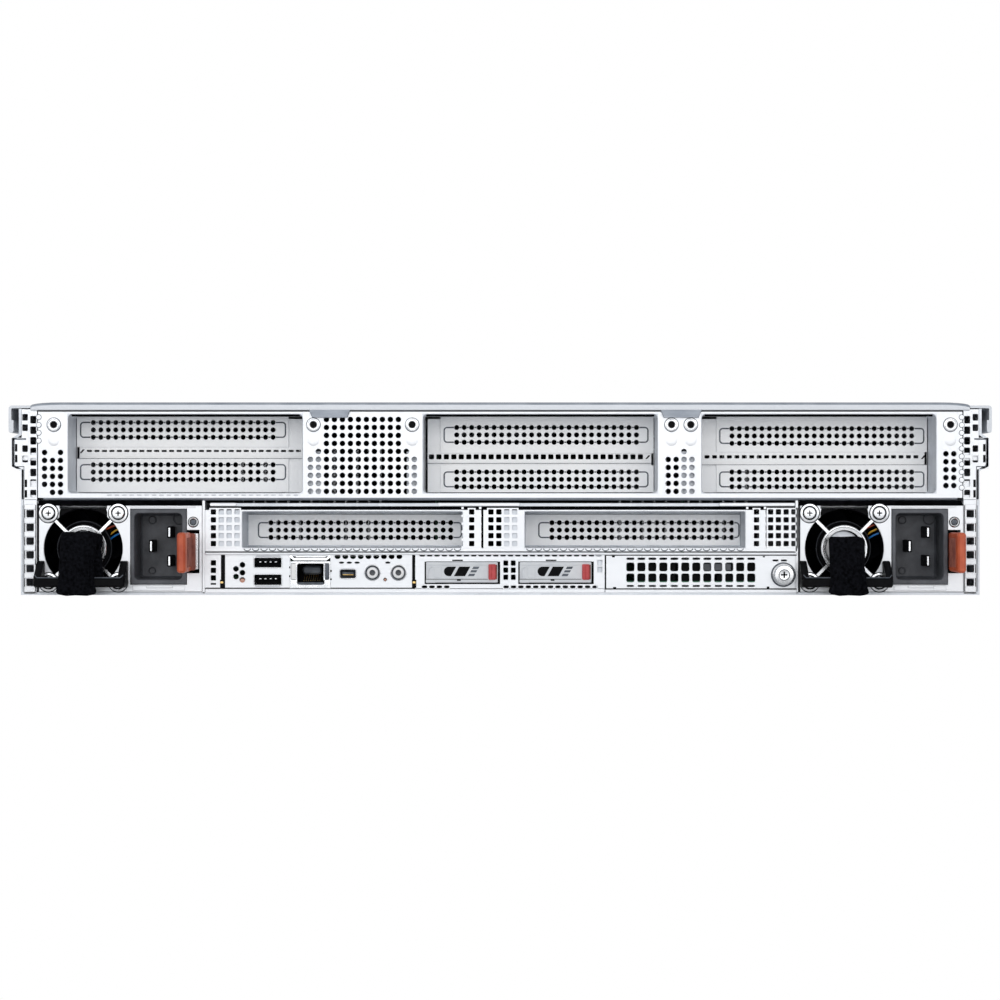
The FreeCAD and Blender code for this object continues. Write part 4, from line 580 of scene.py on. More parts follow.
# Captive screws: a nickel sleeve with a bevelled rim, its bore, and the screw at the bottom as a black disc:
# painted shade.
screws, bores, seams = [], [], []
for x in rearPlate["seatX"]:
    centre = (x, rearY, rearPlate["screwZ"])
    screws.append(turned([(3.05, 0.1), (3.02, -0.45), (2.85, -0.75), (2.6, -0.8), (2.4, -0.6), (2.2, -0.75),
                          (1.9, -0.75), (1.55, -0.5)], centre, 32))
    bores.append(turned([(1.55, -0.5), (1.45, -0.1), (0, -0.08)], centre, 32))
    seams.append(turned([(3.3, -0.02), (3.2, -0.12), (3.03, -0.1)], centre, 32))
makePiece("captiveScrews", {"nickelPlate": screws, "blackPlasticAndShade": bores, "stampedLineAndPaintedLight": seams},
          "root", "zinc_steel", "riser_screws")

# Riser cages behind the windows: folded sheet with two slots, a row of vents between them and the riser card.
cage = {"gap": 0.3, "depth": 190, "sheet": 1.2, "cardSetBack": 140, "cardLength": 46, "cardThick": 1.6,
        "slotWide": 90, "slotHigh": 10, "boardTop": 7.6, "ventBand": 1.7, "ventPitch": 3.44, "vents": 29}
# Each one: window's left edge, slots' middle, both slots' levels, vents' level, size and first x, card's
# side.
cages = {
    "left": (-195.2, -146.0, 75.1, 55.8, 65.5, (2.4, 0.95), -189.3, "right"),
    "middle": (-34.8, 21.1, 72.9, 52.4, 62.8, (2.4, 2.3), -31.7, "left"),
    "right": (91.1, 148.1, 72.4, 52.5, 62.8, (2.3, 1.5), 95.3, "left"),
}
for side, (left, middle, high, low, ventZ, ventSize, firstVent, cardSide) in cages.items():
    x0, x1 = left + cage["gap"], left + rearPlate["windowWidth"] - cage["gap"]
    z0, z1 = windowZ[0] + cage["gap"], windowZ[1] - cage["gap"]
    y0, back, sheet = rearPlate["recess"], rearPlate["recess"] + cage["depth"], cage["sheet"]
    half, under, over = cage["slotHigh"] / 2, ventZ - cage["ventBand"], ventZ + cage["ventBand"]
    slotLeft, slotRight = middle - cage["slotWide"] / 2, middle + cage["slotWide"] / 2
    rects = [(x0, x1, z0, low - half), (x0, x1, low + half, under), (x0, x1, over, high - half),
             (x0, x1, high + half, z1)]
    rects += [(start, end, level - half, level + half) for level in (low, high)
              for start, end in ((x0, slotLeft), (slotRight, x1))]
    sheets = flats(0, y0, *((*rect, 0, sheet) for rect in rects))
    sheets += panel((x0, x1), (under, over), (y0, y0 + sheet), (firstVent, cage["ventPitch"], cage["vents"]),
                    (ventZ, 3.4, 1), None, ventSize, 6)
    # a slanted vent ends the row, drawn as a black prism: painted shade of its opening
    end = firstVent - 3.3 if side == "left" else firstVent + cage["vents"] * cage["ventPitch"]
    slit = [prism([(end - 1.2, ventZ - 1.0), (end - 0.4, ventZ - 1.0), (end + 1.2, ventZ + 0.7),
                   (end + 0.2, ventZ + 0.7)], y0 - 0.06, y0 + 0.1, 0.02)]
    walls = [block((x, x + sheet), (y0, back), (z0, z1), 0.2, 0.1) for x in (x0, x1 - sheet)]
    walls.append(block((x0, x1), (y0, back), (z1 - sheet, z1), 0.2, 0.1))
    face = x1 - 2.8 if cardSide == "right" else x0 + 1.2
    card = blocks(face, y0, (0, cage["cardThick"], cage["cardSetBack"],
                             cage["cardSetBack"] + cage["cardLength"],
                             cage["boardTop"], z1 - 1.2, 0.1, 0.05))
    # the cage's sheets are the whitened zinc, painted light; its walls are the darkened sheet, painted shade
    makePiece("riserCage_" + side, {"paintedLightZinc": sheets, "greySteelAndShade": walls, "solderMask": card,
                                    "paintedShadeBlack": slit},
              "root", "zinc_steel", "riser_cage_" + side)

# Slot covers: plates with three rows of round vents and a stamped line round them that the outer rows break.
slotCover = {"back": -343, "thick": 1, "pitch": 3.45, "count": 25, "hole": 2.35, "rowPitch": 3.4,
             "line": 0.62,
             "proud": 0.1, "corner": 1.4, "clear": 0.12}
covers = (  # plate's x and z spans, first vent x, middle row z, stamped line's x span
    ((-194.9, -97.5), (67.3, 81.2), -187.4, 75.2, (-193.2, -98.9)),
    ((-194.9, -97.5), (46.5, 61.9), -187.4, 55.75, (-193.2, -98.9)),
    ((-27.4, 70.6), (64.4, 81.2), -20.05, 72.9, (-25.8, 68.0)),
    ((-27.4, 70.6), (46.5, 58.9), -20.05, 52.4, (-25.8, 68.0)),
    ((99.6, 196.5), (65.0, 81.2), 106.7, 72.4, (101.1, 195.0)),
    ((99.6, 196.5), (46.5, 59.0), 106.7, 52.4, (101.1, 195.0)),
    ((-115.9, -17.4), (22.1, 36.2), -105.6, 29.05, (-111.3, -17.9)),
    ((11.6, 110.3), (22.1, 36.2), 23.8, 29.05, (17.8, 109.9)),
)
edges = ((-194.9, -90.0, 61.9), (-34.0, 70.6, 59.7), (91.8, 196.5, 59.0), (-115.9, -17.4, 36.2),
         (11.6, 110.3, 36.2))
coverDepth = (slotCover["back"] - slotCover["thick"], slotCover["back"])
plates = []
lines = [slats([x0], [x1], [z], [z + 0.22], (-344.12, -343.9)) for x0, x1, z in edges]
pitch, rise, half, corner = (slotCover[key] for key in ("pitch", "rowPitch", "line", "corner"))
half /= 2
front = (coverDepth[0] - slotCover["proud"], coverDepth[0])
section = [[-half, -0.05], [half, -0.05], [half, 0.05], [-half, 0.05]]
for plateX, plateZ, first, row, lineX in covers:
    plates += panel(plateX, plateZ, coverDepth, (first, pitch, slotCover["count"]), (row - rise, rise, 3),
                    None,
                    (slotCover["hole"],) * 2)
    centres = first + pitch * np.arange(slotCover["count"])
    clear = slotCover["hole"] / 2 + slotCover["clear"]
    for z in (row - rise, row + rise):
        lines.append(slats(centres[:-1] + clear, centres[1:] - clear, z - half, z + half, front))
    for end, inner, turn in ((lineX[0], centres[0] - clear, -1), (lineX[1], centres[-1] + clear, 1)):
        top = np.stack([end - turn * corner + turn * corner * np.sin(arc),
                        row + rise - corner + corner * np.cos(arc)],
                       -1)
        bottom = top[::-1] * [1, -1] + [0, 2 * row]
        track = np.concatenate([[[inner, row + rise]], top, bottom, [[inner, row - rise]]])
        lines.append(swept(np.insert(track, 1, front[0] + slotCover["proud"] / 2, axis=1), section,
                           up=(0, 1, 0)))
# the plates are the whitened zinc: painted light
makePiece("slotCovers", {"paintedLightZinc": plates, "stampedLineAndPaintedLight": lines}, "root", "zinc_steel", "slot_covers")

# Lower slot frame: posts with square vents, two recessed windows, a scalloped sill and a white ledge.
lowFrame = {"left": -133.3, "right": 134.1, "low": 21.1, "high": 38.4, "sill": 19.7,
            "windows": (-116.5, 11.2),
            "slots": (-66.8, 60.9), "slotHalf": 46.6, "windowWide": 99.4, "windowHigh": 37.6, "square": 2.4,
            "firstRow": 23.2, "rowPitch": 3.58, "rows": 5}
posts = (  # x span, first square's x, pitch and number
    (-133.3, -116.8, -129.6, 3.57, 4), (-16.8, -8.6, -12.9, 3.57, 1), (-7.6, 10.9, -4.2, 3.57, 4),
    (110.9, 119.9, 115.8, 3.57, 1), (120.3, 134.1, 122.2, 3.5, 4),
)
span = (lowFrame["low"], lowFrame["high"])
sill = (lowFrame["sill"], lowFrame["low"])
rows = (lowFrame["firstRow"], lowFrame["rowPitch"], lowFrame["rows"])
plain, lowWalls, arcs = [], [], []
for left, right, *columns in posts:
    plain += panel((left, right), span, plateDepth, columns, rows, None, (lowFrame["square"],) * 2, 7, 0.05)
behind = flats(0, 0, (-127.8, -117.4, 21.6, 38.3, -366.7, -366.1), (0.9, 9.6, 21.6, 38.3, -366.7, -366.1),
               (lowFrame["left"], lowFrame["right"], sill[0], sill[0] + 1.2, -366.8, -343))
bend = np.linspace(0.15, math.pi - 0.15, 8)
for left, middle in zip(lowFrame["windows"], lowFrame["slots"]):
    right = left + lowFrame["windowWide"]
    lowWalls.append(windowSurround((left, right), (21.4, lowFrame["windowHigh"]), rearY, rearPlate["recess"],
                                   rearPlate["sheet"], 0.6))
    for low, high in ((lowFrame["windowHigh"] + margin, lowFrame["high"]), sill):
        plain.append(flat((left - margin, right + margin), (low, high), plateDepth))
    # scalloped sill: a row of stamped arcs
    for centre in left + 2.2 + 3.8 * np.arange(26):
        arch = np.stack([centre + 1.5 * np.cos(bend), np.full(8, rearY - 0.05), 21.1 - 1.15 * np.sin(bend)],
                        -1)
        arcs.append(swept(arch, [[-0.22, -0.06], [0.22, -0.06], [0.22, 0.06], [-0.22, 0.06]], up=(0, -1, 0)))
    slotLeft, slotRight = middle - lowFrame["slotHalf"], middle + lowFrame["slotHalf"]
    for start, end, low, high in ((left, right, 21.5, 24.1), (left, right, 34.1, 37.5),
                                  (left, slotLeft, 24.1, 34.1),
                                  (slotRight, right, 24.1, 34.1)):
        behind.append(flat((start, end), (low, high), rimDepth))
for left, right in ((-133.3, -116.8), (-16.8, 10.9), (110.9, 134.1)):
    plain.append(flat((left, right), sill, plateDepth))
# half squares folded round the posts' edges: short bars stand between them
levels = lowFrame["firstRow"] + lowFrame["rowPitch"] * (np.arange(6) - 0.5)
for x in (-17.0, -9.0, 111.6, 119.6):
    plain.append(slats(x - 0.5, x + 0.5, levels - 0.55, levels + 0.55, (rearY - 0.35, rearY)))
# the window walls and the sheets behind the vents are the darkened sheet: painted shade
makePiece("lowerSlotFrame", {"galvanisedSteel": plain, "greySteelAndShade": lowWalls + behind, "stampedLineAndPaintedLight": arcs},
          "root", "zinc_steel", "lower_slot_frame")
print("rear frame and slots")


def bladeRing(count, hub, tip, chord, depth, lean, centre, thick=0.5):
    # Pitched fan blades: across its chord each runs from front to back, and its middle line leans back
    # toward the tip by the square of the way out.
    share = np.linspace(0, 1, 6)
    radii = hub + (tip - hub) * share
    across = np.array([-0.5, 0.0, 0.5, 0.5, 0.0, -0.5])
    lift = np.array([0, 0.06, 0, 0, 0.06, 0]) * depth + np.repeat([-thick / 2, thick / 2], 3)
    begin = ring(count)[:, None, None]
    angle = begin + across * (chord / radii)[None, :, None] + (lean * share ** 2)[None, :, None]
    points = np.empty((count, len(radii) + 2, 6, 3))
    points[:, 1:-1, :, 0] = centre[0] + radii[None, :, None] * np.cos(angle)
    points[:, 1:-1, :, 1] = centre[1] + (across + 0.5) * depth + lift
    points[:, 1:-1, :, 2] = centre[2] + radii[None, :, None] * np.sin(angle)
    # each end closes on the middle of its own arched section
    points[:, 0] = points[:, 1, [1, 4]].mean(1, keepdims=True)
    points[:, -1] = points[:, -2, [1, 4]].mean(1, keepdims=True)
    return surface(points, wrap=True, flip=True)


def crossRecess(centre, reach, width, y):
    # A cross-shaped driver recess, drawn as two dark bars: painted shade.
    x, z = centre
    return slats([x - reach, x - width], [x + reach, x + width], [z - width, z - reach],
                 [z + width, z + reach],
                 (y, y + 0.05))


def spokes(centre, angles, inner, outer, depth, section):
    # Straight bars that run outward from round a centre, each with the same section.
    parts = []
    for angle in angles:
        reach = np.array([[inner], [outer]]) * [math.cos(angle), math.sin(angle)]
        parts.append(swept(np.insert(reach, 1, depth, axis=1) + centre, section, up=(0, -1, 0)))
    return parts


# Power supplies: a steel case whose plate has the fan's guard and the mains inlet, a handle with a strap
# and a release tab.
supply = {"left": {"left": -208.3, "right": 135.6}, "width": 73.5, "low": 1.5, "high": 40.3, "sheet": 0.8,
          "length": 185, "fanX": 19.9, "fanZ": 21.0, "bore": 17.8, "guard": 10.5, "guardInner": 8.3,
          "strut": 1.3,
          "screws": (4.2, 35.7), "screwZ": (37.0, 5.7), "inlet": ((41.3, 66.6), (4.8, 38.8)),
          "cavity": ((43.1, 64.6), (6.9, 36.9)), "cavityDepth": 20, "ring": (69.6, 32.9)}
fanPlate = {"half": 18, "openUp": 17.97, "openAcross": 10.8, "points": 96}


def supplyCase(side):
    x = supply["left"][side]
    low, high, width, sheet = (supply[key] for key in ("low", "high", "width", "sheet"))
    fan = (x + supply["fanX"], rearY, supply["fanZ"])
    # the fan's square of plate: a round bore, opened straight up between the two screws
    angles = ring(fanPlate["points"])
    across, rise = np.cos(angles), np.sin(angles)
    upward = np.minimum(fanPlate["openUp"] / np.maximum(rise, 1e-3),
                        fanPlate["openAcross"] / np.maximum(abs(across), 1e-3))
    bore = np.where(rise > 0, np.maximum(supply["bore"], upward), supply["bore"])
    square = fanPlate["half"] / np.maximum(abs(across), abs(rise))
    rows = [atDepth(np.stack([fan[0] + reach * across, fan[2] + reach * rise], -1), rearY + depth) for reach,
            depth in
            ((square, 0), (np.minimum(bore + 0.15, square), 0), (bore, 0.2), (bore, 1), (square, 1))]
    plate = [surface(np.array(rows), wrap=True)]
    # what the fan's cell and the inlet leave of the plate
    plate += flats(x, rearY, *((*rect, 0, 1) for rect in (
        (0, 1.9, low, high), (37.9, 41.1, low, high), (1.9, 37.9, low, 3.0), (1.9, 9.1, 39.0, high),
        (30.7, 37.9, 39.0, high), (41.1, 66.8, low, 4.6), (41.1, 66.8, 39.0, high), (66.8, width, low, 9.8),
        (66.8, width, 29.4, high), (72.4, width, 9.8, 29.4))))
    plate += blocks(x, rearY, *((*box, 0.2, 0.1) for box in (
        (0, sheet, 1, supply["length"], low, high), (width - sheet, width, 1, supply["length"], low, high),
        (0, width, 1, supply["length"], low, low + sheet),
        (0, width, 12, supply["length"], high - sheet, high))))
    # a pressed strip with a raised middle under the inlet, and the hem over it
    plate += blocks(x, rearY, (42.2, 66.0, -0.35, 0.2, 2.0, 4.3, 0.25, 0.2),
                    (48.5, 60.4, -0.75, -0.1, 3.1, 4.3, 0.3, 0.25),
                    (41.2, 70.5, -0.3, 0.2, 39.35, 40.1, 0.2, 0.15))
    # guard: a broad flat ring held by four diagonal struts that start under the corner bosses
    guard, inner, half = supply["guard"], supply["guardInner"], supply["strut"] / 2
    bright = [turned([(guard, 0.9), (guard, 0.25), (guard - 0.25, 0), (guard - 0.7, 0), (guard - 0.95, 0.25),
                      (inner, 0.3), (inner, 0.9), (guard, 0.9)], fan, 64)]
    section = [[-half, -0.3], [-half + 0.2, -0.5], [half - 0.2, -0.5], [half, -0.3], [half, 0.45],
               [-half, 0.45]]
    bright += spokes(fan, ring(4, math.pi / 4), guard - 0.3, supply["bore"] + 0.6, 0.45, section)
    dark = []
    for screw, level in ((near, z) for near in supply["screws"] for z in supply["screwZ"]):
        centre = (x + screw, rearY, level)
        bright.append(turned([(4.3, 0.5), (4.3, -0.2), (4.1, -0.45), (3.4, -0.5), (3.2, -0.35)], centre, 40))
        dark.append(turned([(3.2, -0.35), (3.1, -0.12), (2.65, -0.1)], centre, 40))
        dark.append(turned([(4.65, -0.02), (4.5, -0.1), (4.3, -0.08)], centre, 40))
        bright.append(turned([(2.65, -0.1), (2.62, -0.3), (2.3, -0.55), (0, -0.65)], centre, 36))
        dark.append(crossRecess((centre[0], centre[2]), 1.25, 0.3, rearY - 0.68))
    # status ring beside the tab, and the spring strip of the release tab
    light = (x + supply["ring"][0], rearY, supply["ring"][1])
    bright.append(turned([(2.1, 0.1), (2.1, -0.35), (1.85, -0.5), (1.6, -0.35), (1.5, 0.1)], light, 32))
    bright += blocks(x, rearY, (69.9, 72.0, -1.4, 9, 11.6, 27.8, 0.3, 0.25))
    dark.append(turned([(2.5, -0.01), (2.4, -0.08), (2.1, -0.06)], light, 32))
    dark.append(turned([(1.5, -0.05), (1.2, -0.05)], light, 24))
    # black sheets behind the tab's opening and deep inside the case: painted shade
    dark += flats(x, rearY, (66.9, 72.3, 9.9, 29.3, 9, 10), (0.9, 72.6, 2.4, 39.4, 31, 32))
    lens = [turned([(1.2, 0.05), (1.1, -0.2), (0, -0.25)], light, 24)]
    makePiece("supplyCase_" + side, {"galvanisedSteel": plate, "nickelPlate": bright, "blackPlasticAndShade": dark,
                                     "stampedLineAndPaintedLight": lens}, "supply_" + side, "zinc_steel",
                                     f"supply_{side}_case")


def supplyFan(side):
    fanX, fanZ = supply["left"][side] + supply["fanX"], supply["fanZ"]
    centre = (fanX, rearY, fanZ)
    # square housing with its round bore, the motor's mount and struts far inside
    housing = [holeCells([fanX], [fanZ], (38.2, 37.2), (35.4, 35.4), 2, (rearY + 1.3, rearY + 29), 0.4, 60)]
    struts = [turned([(0, 26.8), (9.6, 26.8), (9.9, 27.4), (9.9, 29)], centre, 40)]
    struts += spokes(centre, ring(7, 0.3), 9.0, 17.9, 27.6,
                     [[-0.6, -0.9], [0.6, -0.9], [0.6, 0.9], [-0.6, 0.9]])
    wires = {}
    share = np.linspace(0, 1, 14)[:, None]
    for finish, shift, lift in (("blueVinyl", 0.0, 0.0), ("yellowVinyl", -0.1, 2.2), ("redVinyl", -2.0, 4.4)):
        start, bend, end = (np.array(point) + centre for point in
                            ((11.5 + shift, 7, 4.2 + lift), (14.2, 4.6, 6.4 + lift), (17.4, 5.2, 7.2 + lift)))
        path = (1 - share) ** 2 * start + 2 * share * (1 - share) * bend + share ** 2 * end
        wires[finish] = [swept(path, roundSection(0.42, 10))]
    makePiece("supplyFan_" + side, {"blackPlasticAndShade": housing, "graphiteAbsAndHighlight": struts, **wires},
              "supply_" + side,
              "black_plastic", f"supply_{side}_fan")
    # rotor: a hub with a painted highlight round its rim, a pale plate on the hub, seven leaning blades
    hubCentre = (fanX, rearY + 3.4, fanZ)
    hub = turned([(0, 1.2), (8.0, 1.2), (10.9, 0.9), (11.6, 0.3), (12.0, 0.6), (12.1, 3), (12.1, 20),
                  (0, 20)],
                 hubCentre, 64)
    plate = [turned([(0, 0.9), (7.6, 0.9), (7.9, 1.25)], hubCentre, 48)]
    # white sticker on the hub, cut straight across its top
    angles = np.linspace(math.pi - 0.72, 2 * math.pi + 0.72, 40)
    disc = np.stack([fanX + 7.7 * np.cos(angles), fanZ + 7.7 * np.sin(angles)], -1)
    sticker = [prism(disc, hubCentre[1] + 0.75, hubCentre[1] + 0.95, 0.05)]
    edge = [turned([(12.05, 0.75), (12.35, 0.5), (12.5, 0.8), (12.3, 1.3)], hubCentre, 64)]
    blades = bladeRing(7, 11.8, 17.1, 10.5, 15, 0.18, (fanX, hubCentre[1] + 3, fanZ), 0.7)
    makePiece("supplyRotor_" + side, {"blackPlasticAndShade": [hub, blades], "greySteelAndShade": plate,
                                      "milkyPolycarbonate": sticker, "graphiteAbsAndHighlight": edge},
              f"supply_{side}_rotor", "black_plastic", f"supply_{side}_rotor")


def supplyInlet(side):
    x, y0 = supply["left"][side], rearY - 0.8
    base = y0 + supply["cavityDepth"]
    (outerX, outerZ), (cavityX, cavityZ) = ((np.add(x, spanX), spanZ) for spanX, spanZ in
                                            (supply["inlet"], supply["cavity"]))
    rows = loopWall(outerX, outerZ, 0.5, (y0 + 24, y0 + 0.35, y0), (0, 0, 0.35))
    rows += loopWall(cavityX, cavityZ, 2.1, (y0, y0 + 0.35, base - 0.8, base), (-0.3, 0, 0.5, 1.2))
    shell = [surface(np.array(rows + [closedFloor(rows[-1], cavityX, cavityZ)]), wrap=True)]
    # moulded rings on the cavity's floor, and the three pins: their sides black for painted shade, their ends
    # bright
    rings = [turned([(radius, 0.1), (radius, -0.35), (radius - 0.25, -0.5), (radius - 0.5, -0.4),
                     (radius - 0.55, 0.1)],
                    (cavityX[0] + right, base, cavityZ[0] + up), 32)
             for right, up, radius in ((5.7, 26.8, 1.9), (5.6, 3.6, 1.7), (17.9, 27.4, 2.8))]
    pins, ends = [], []
    for right, up, tall in ((6.9, 15.1, 4.6), (15.2, 21.4, 4.2), (15.2, 8.4, 4.2)):
        z, half = cavityZ[0] + up, tall / 2
        pins += blocks(cavityX[0] + right, base, (-1.0, 1.0, -15, 0, z - half - 0.5, z + half + 0.5, 0.5,
                                                  0.3))
        ends += blocks(cavityX[0] + right, base, (-0.45, 0.45, -15.3, -14.8, z - half, z + half, 0.3, 0.1))
    makePiece("supplyInlet_" + side, {"inletPolyamide": shell, "graphiteAbsAndHighlight": rings, "blackPlasticAndShade": pins,
                                      "nickelPlate": ends}, "supply_" + side, "black_plastic",
                                      f"supply_{side}_inlet")


def carried(section, across, shrink, flip=False):
    # A closed section of (depth, z) pairs carried along x, drawn in by a share at each place, ends closed.
    middle = section.mean(0)
    rows = np.empty((len(across), len(section), 3))
    rows[..., 0] = np.array(across)[:, None]
    rows[..., 1:] = middle + (section - middle) * np.array(shrink)[:, None, None]
    rows[..., 1] += rearY
    return surface(closedEnds(rows), wrap=True, flip=flip)


def supplyHandle(side):
    x = supply["left"][side]
    low, high = x - 0.6, x + 40.2
    # bar: a chamfered section carried across, its two ends rounded in; the lugs run back and up to the case
    section = np.array([[-13.8, 4.6], [-13.8, 7.4], [-12.6, 8.4], [-9.6, 8.4], [-9.6, 3.9], [-12.8, 3.9]])
    body = [carried(section, (low, low + 0.5, low + 1.6, high - 1.6, high - 0.5, high),
                    (0.35, 0.75, 1, 1, 0.75, 0.35),
                    flip=True)]
    lug = np.array([[0, 3.6], [0, 15.4], [-2.6, 15.4], [-12.6, 8.3], [-12.9, 4.4], [-10, 3.6]])
    for left, right in ((low, low + 3.2), (high - 3.2, high)):
        body.append(carried(lug, (left, left + 0.4, right - 0.4, right), (0.93, 1, 1, 0.93)))
    # a grey line along the bar's upper edge, turned up at both ends: painted highlight
    left = np.array([low + 0.6, rearY - 12.9, 9.4]) + np.linspace(0, 1, 6)[:, None] * [1.2, -0.9, -1.25]
    right = left[::-1] * [-1, 1, 1] + [low + high, 0, 0]
    bead = [swept(np.concatenate([left, right]), roundSection(0.22, 8), up=(0, -1, 0))]
    makePiece("supplyHandle_" + side, {"blackPlasticAndShade": body, "stampedLineAndPaintedLight": bead}, "supply_" + side,
              "black_plastic",
              f"supply_{side}_handle")


tapeRows, tapePoints = 60, 40


def tape(centreX, half, front, back, top, low, lean, sway):
    # Hook-and-loop tape hung over a bar: its section is a rounded slab, wider and fuller toward the foot.
    share = np.linspace(0, 1, tapeRows)
    fold = np.sin(share * 9.1 + sway) * 0.18 + np.sin(share * 21 + sway * 2) * 0.07
    foot = np.clip((share - 0.72) / 0.28, 0, 1) ** 2
    roundTop = np.sqrt(np.clip(1 - (1 - np.clip(share / 0.07, 0, 1)) ** 2, 0, 1))
    roundFoot = np.sqrt(np.clip(1 - np.clip((share - 0.93) / 0.07, 0, 1) ** 2, 0, 1))
    wide = (half + 1.5 * foot + fold) * (0.84 + 0.16 * roundTop) * (0.55 + 0.45 * roundFoot)
    deep = (back - front) / 2 * (0.3 + 0.7 * roundTop) * (0.35 + 0.65 * roundFoot)
    across, rise = np.cos(ring(tapePoints)), np.sin(ring(tapePoints))
    rows = np.empty((tapeRows, tapePoints, 3))
    rounded = np.sign(across) * abs(across) ** 0.35
    rows[..., 0] = (centreX + lean * share + fold)[:, None] + wide[:, None] * rounded
    rows[..., 1] = ((front + back) / 2)[:, None] + deep[:, None] * np.sign(rise) * abs(rise) ** 0.5
    rows[..., 2] = (top + (low - top) * share)[:, None] + 0.25 * np.sin(across * 4 + sway)
    return surface(closedEnds(rows), wrap=True, flip=True)


def supplyStrap(side):
    centreX = supply["left"][side] + supply["fanX"]
    top, low, skew = (28.6, 0.3, -0.9) if side == "left" else (26.4, 0.3, 0.5)
    share = np.linspace(0, 1, tapeRows)
    bulge = np.clip(share * 1.6, 0, 1)
    front = rearY - 11.5 - 5.0 * bulge ** 0.8
    back = rearY - 7.0 - 4.0 * bulge
    layers = [tape(centreX - 0.4, 7.9, front, back, top, low, skew, 0.4)]
    if side == "left":
        layers.append(tape(centreX + 3.8, 5.6, back + 0.6, back + 3.2, top - 0.9, 8.0, 0.6, 1.7))
    # stitching ridge near the tape's right edge
    path = np.stack([centreX + 5.6 + skew * share, front - 0.15, top - 1.5 + (low + 4 - top) * share], -1)
    layers.append(swept(path[2:54], roundSection(0.3, 8), up=(0, -1, 0)))
    makePiece("supplyStrap_" + side, {"brushedNylon": layers}, "supply_" + side, "strap_fabric",
              f"supply_{side}_strap")


def supplyTab(side):
    x = supply["left"][side]
    shift = 0 if side == "left" else 1.5
    spanX, spanZ = (x + 65.1 + shift, x + 69.2 + shift), (10.5, 28.5)
    rows = loopWall(spanX, spanZ, 1.5, [rearY - depth for depth in (1.6, 24.6, 25.6, 26.4, 26.9)],
                    (0.25, 0.0, 0.1, 0.5, 1.1), 7)
    head = [surface(np.array(rows + [closedFloor(rows[-1], spanX, spanZ)]), wrap=True)]
    # the tab's sides and grip ribs take the browner copy: painted shade
    sides = blocks(x, rearY, (67.6, 70.9, -4.5, 12, spanZ[0] + 0.7, spanZ[1] - 0.7, 0.8, 0.3))
    # grip ribs on both sides
    for face in (spanX[0] + 0.05, spanX[1] - 0.05):
        for y in rearY - 21.5 + 1.6 * np.arange(11):
            sides += blocks(face, y, (-0.28, 0.28, -0.35, 0.35, spanZ[0] + 2.4, spanZ[1] - 2.4, 0.2, 0.15))
    makePiece("supplyTab_" + side, {"terracottaBlend": head, "paintedShadeTerracotta": sides},
              f"supply_{side}_latch",
              "terracotta_plastic", f"supply_{side}_latch")


for side in ("left", "right"):
    supplyCase(side)
    supplyFan(side)
    supplyInlet(side)
    supplyHandle(side)
    supplyStrap(side)
    supplyTab(side)
print("power supplies")


# Chassis pan: the folded profile carried along the machine, rear flanges with their square vents and ladder,
# the two supply bays and the board's standoffs.
pan = {"front": 365, "body": 216.6, "bulge": 220.9, "neck": 217.5, "sheet": 1.2, "top": 84.1, "bulgeLow": 56,
       "bulgeHigh": 70.7, "rise": 2.2, "lean": 0.6, "flange": 209.4, "bayRoof": 41.2, "bayTop": 42.7,
       "bay": 134.6,
       "bayLength": 185, "ladder": 212.4, "ladderFirst": 5.7, "ladderPitch": 6.2, "standoffHigh": 5.1}
wall = np.array([[pan["body"], 0], [pan["body"], pan["bulgeLow"]],
                 [pan["bulge"], pan["bulgeLow"] + pan["rise"]],
                 [pan["bulge"], pan["bulgeHigh"]], [pan["neck"], pan["bulgeHigh"] + pan["rise"]],
                 [pan["neck"], pan["top"]]])
thin = wall - [[pan["sheet"], 0]]
thin[:, 1] += np.array([pan["sheet"], pan["lean"], pan["lean"], -pan["lean"], -pan["lean"], 0])
outer, inner = (np.concatenate([line[::-1] * [-1, 1], line]) for line in (wall, thin))
profile = np.concatenate([outer, inner[::-1]])
body = [surface(np.array([atDepth(profile, y) for y in (rearY, pan["front"])]), wrap=True, flip=True)]
ends = [surface(np.array([atDepth(outer, y), atDepth(inner, y)]), flip=turn)
        for y, turn in ((rearY, False), (pan["front"], True))]
flanges, rungs, shadowLines, dark = [], [], [], []
slotKept = np.ones((5, 1), bool)
slotKept[2] = False
vents = (  # x span, z span, column, rows, which cells keep their hole, hole, its power
    ((pan["flange"], 213.1), (43.2, 83.9), (211.0, 3.4), (45.8, 4.77, 8), None, (2.7, 3.4), 7),
    ((213.1, 216.2), (58.6, 83.9), (214.7, 2.9), (61.4, 4.72, 5), slotKept, (2.5, 3.0), 7),
    ((pan["flange"], 215.2), (0.6, 43.2), (pan["ladder"], 5), (pan["ladderFirst"], pan["ladderPitch"], 6),
     None,
     (3.4, 3.3), 9),
)
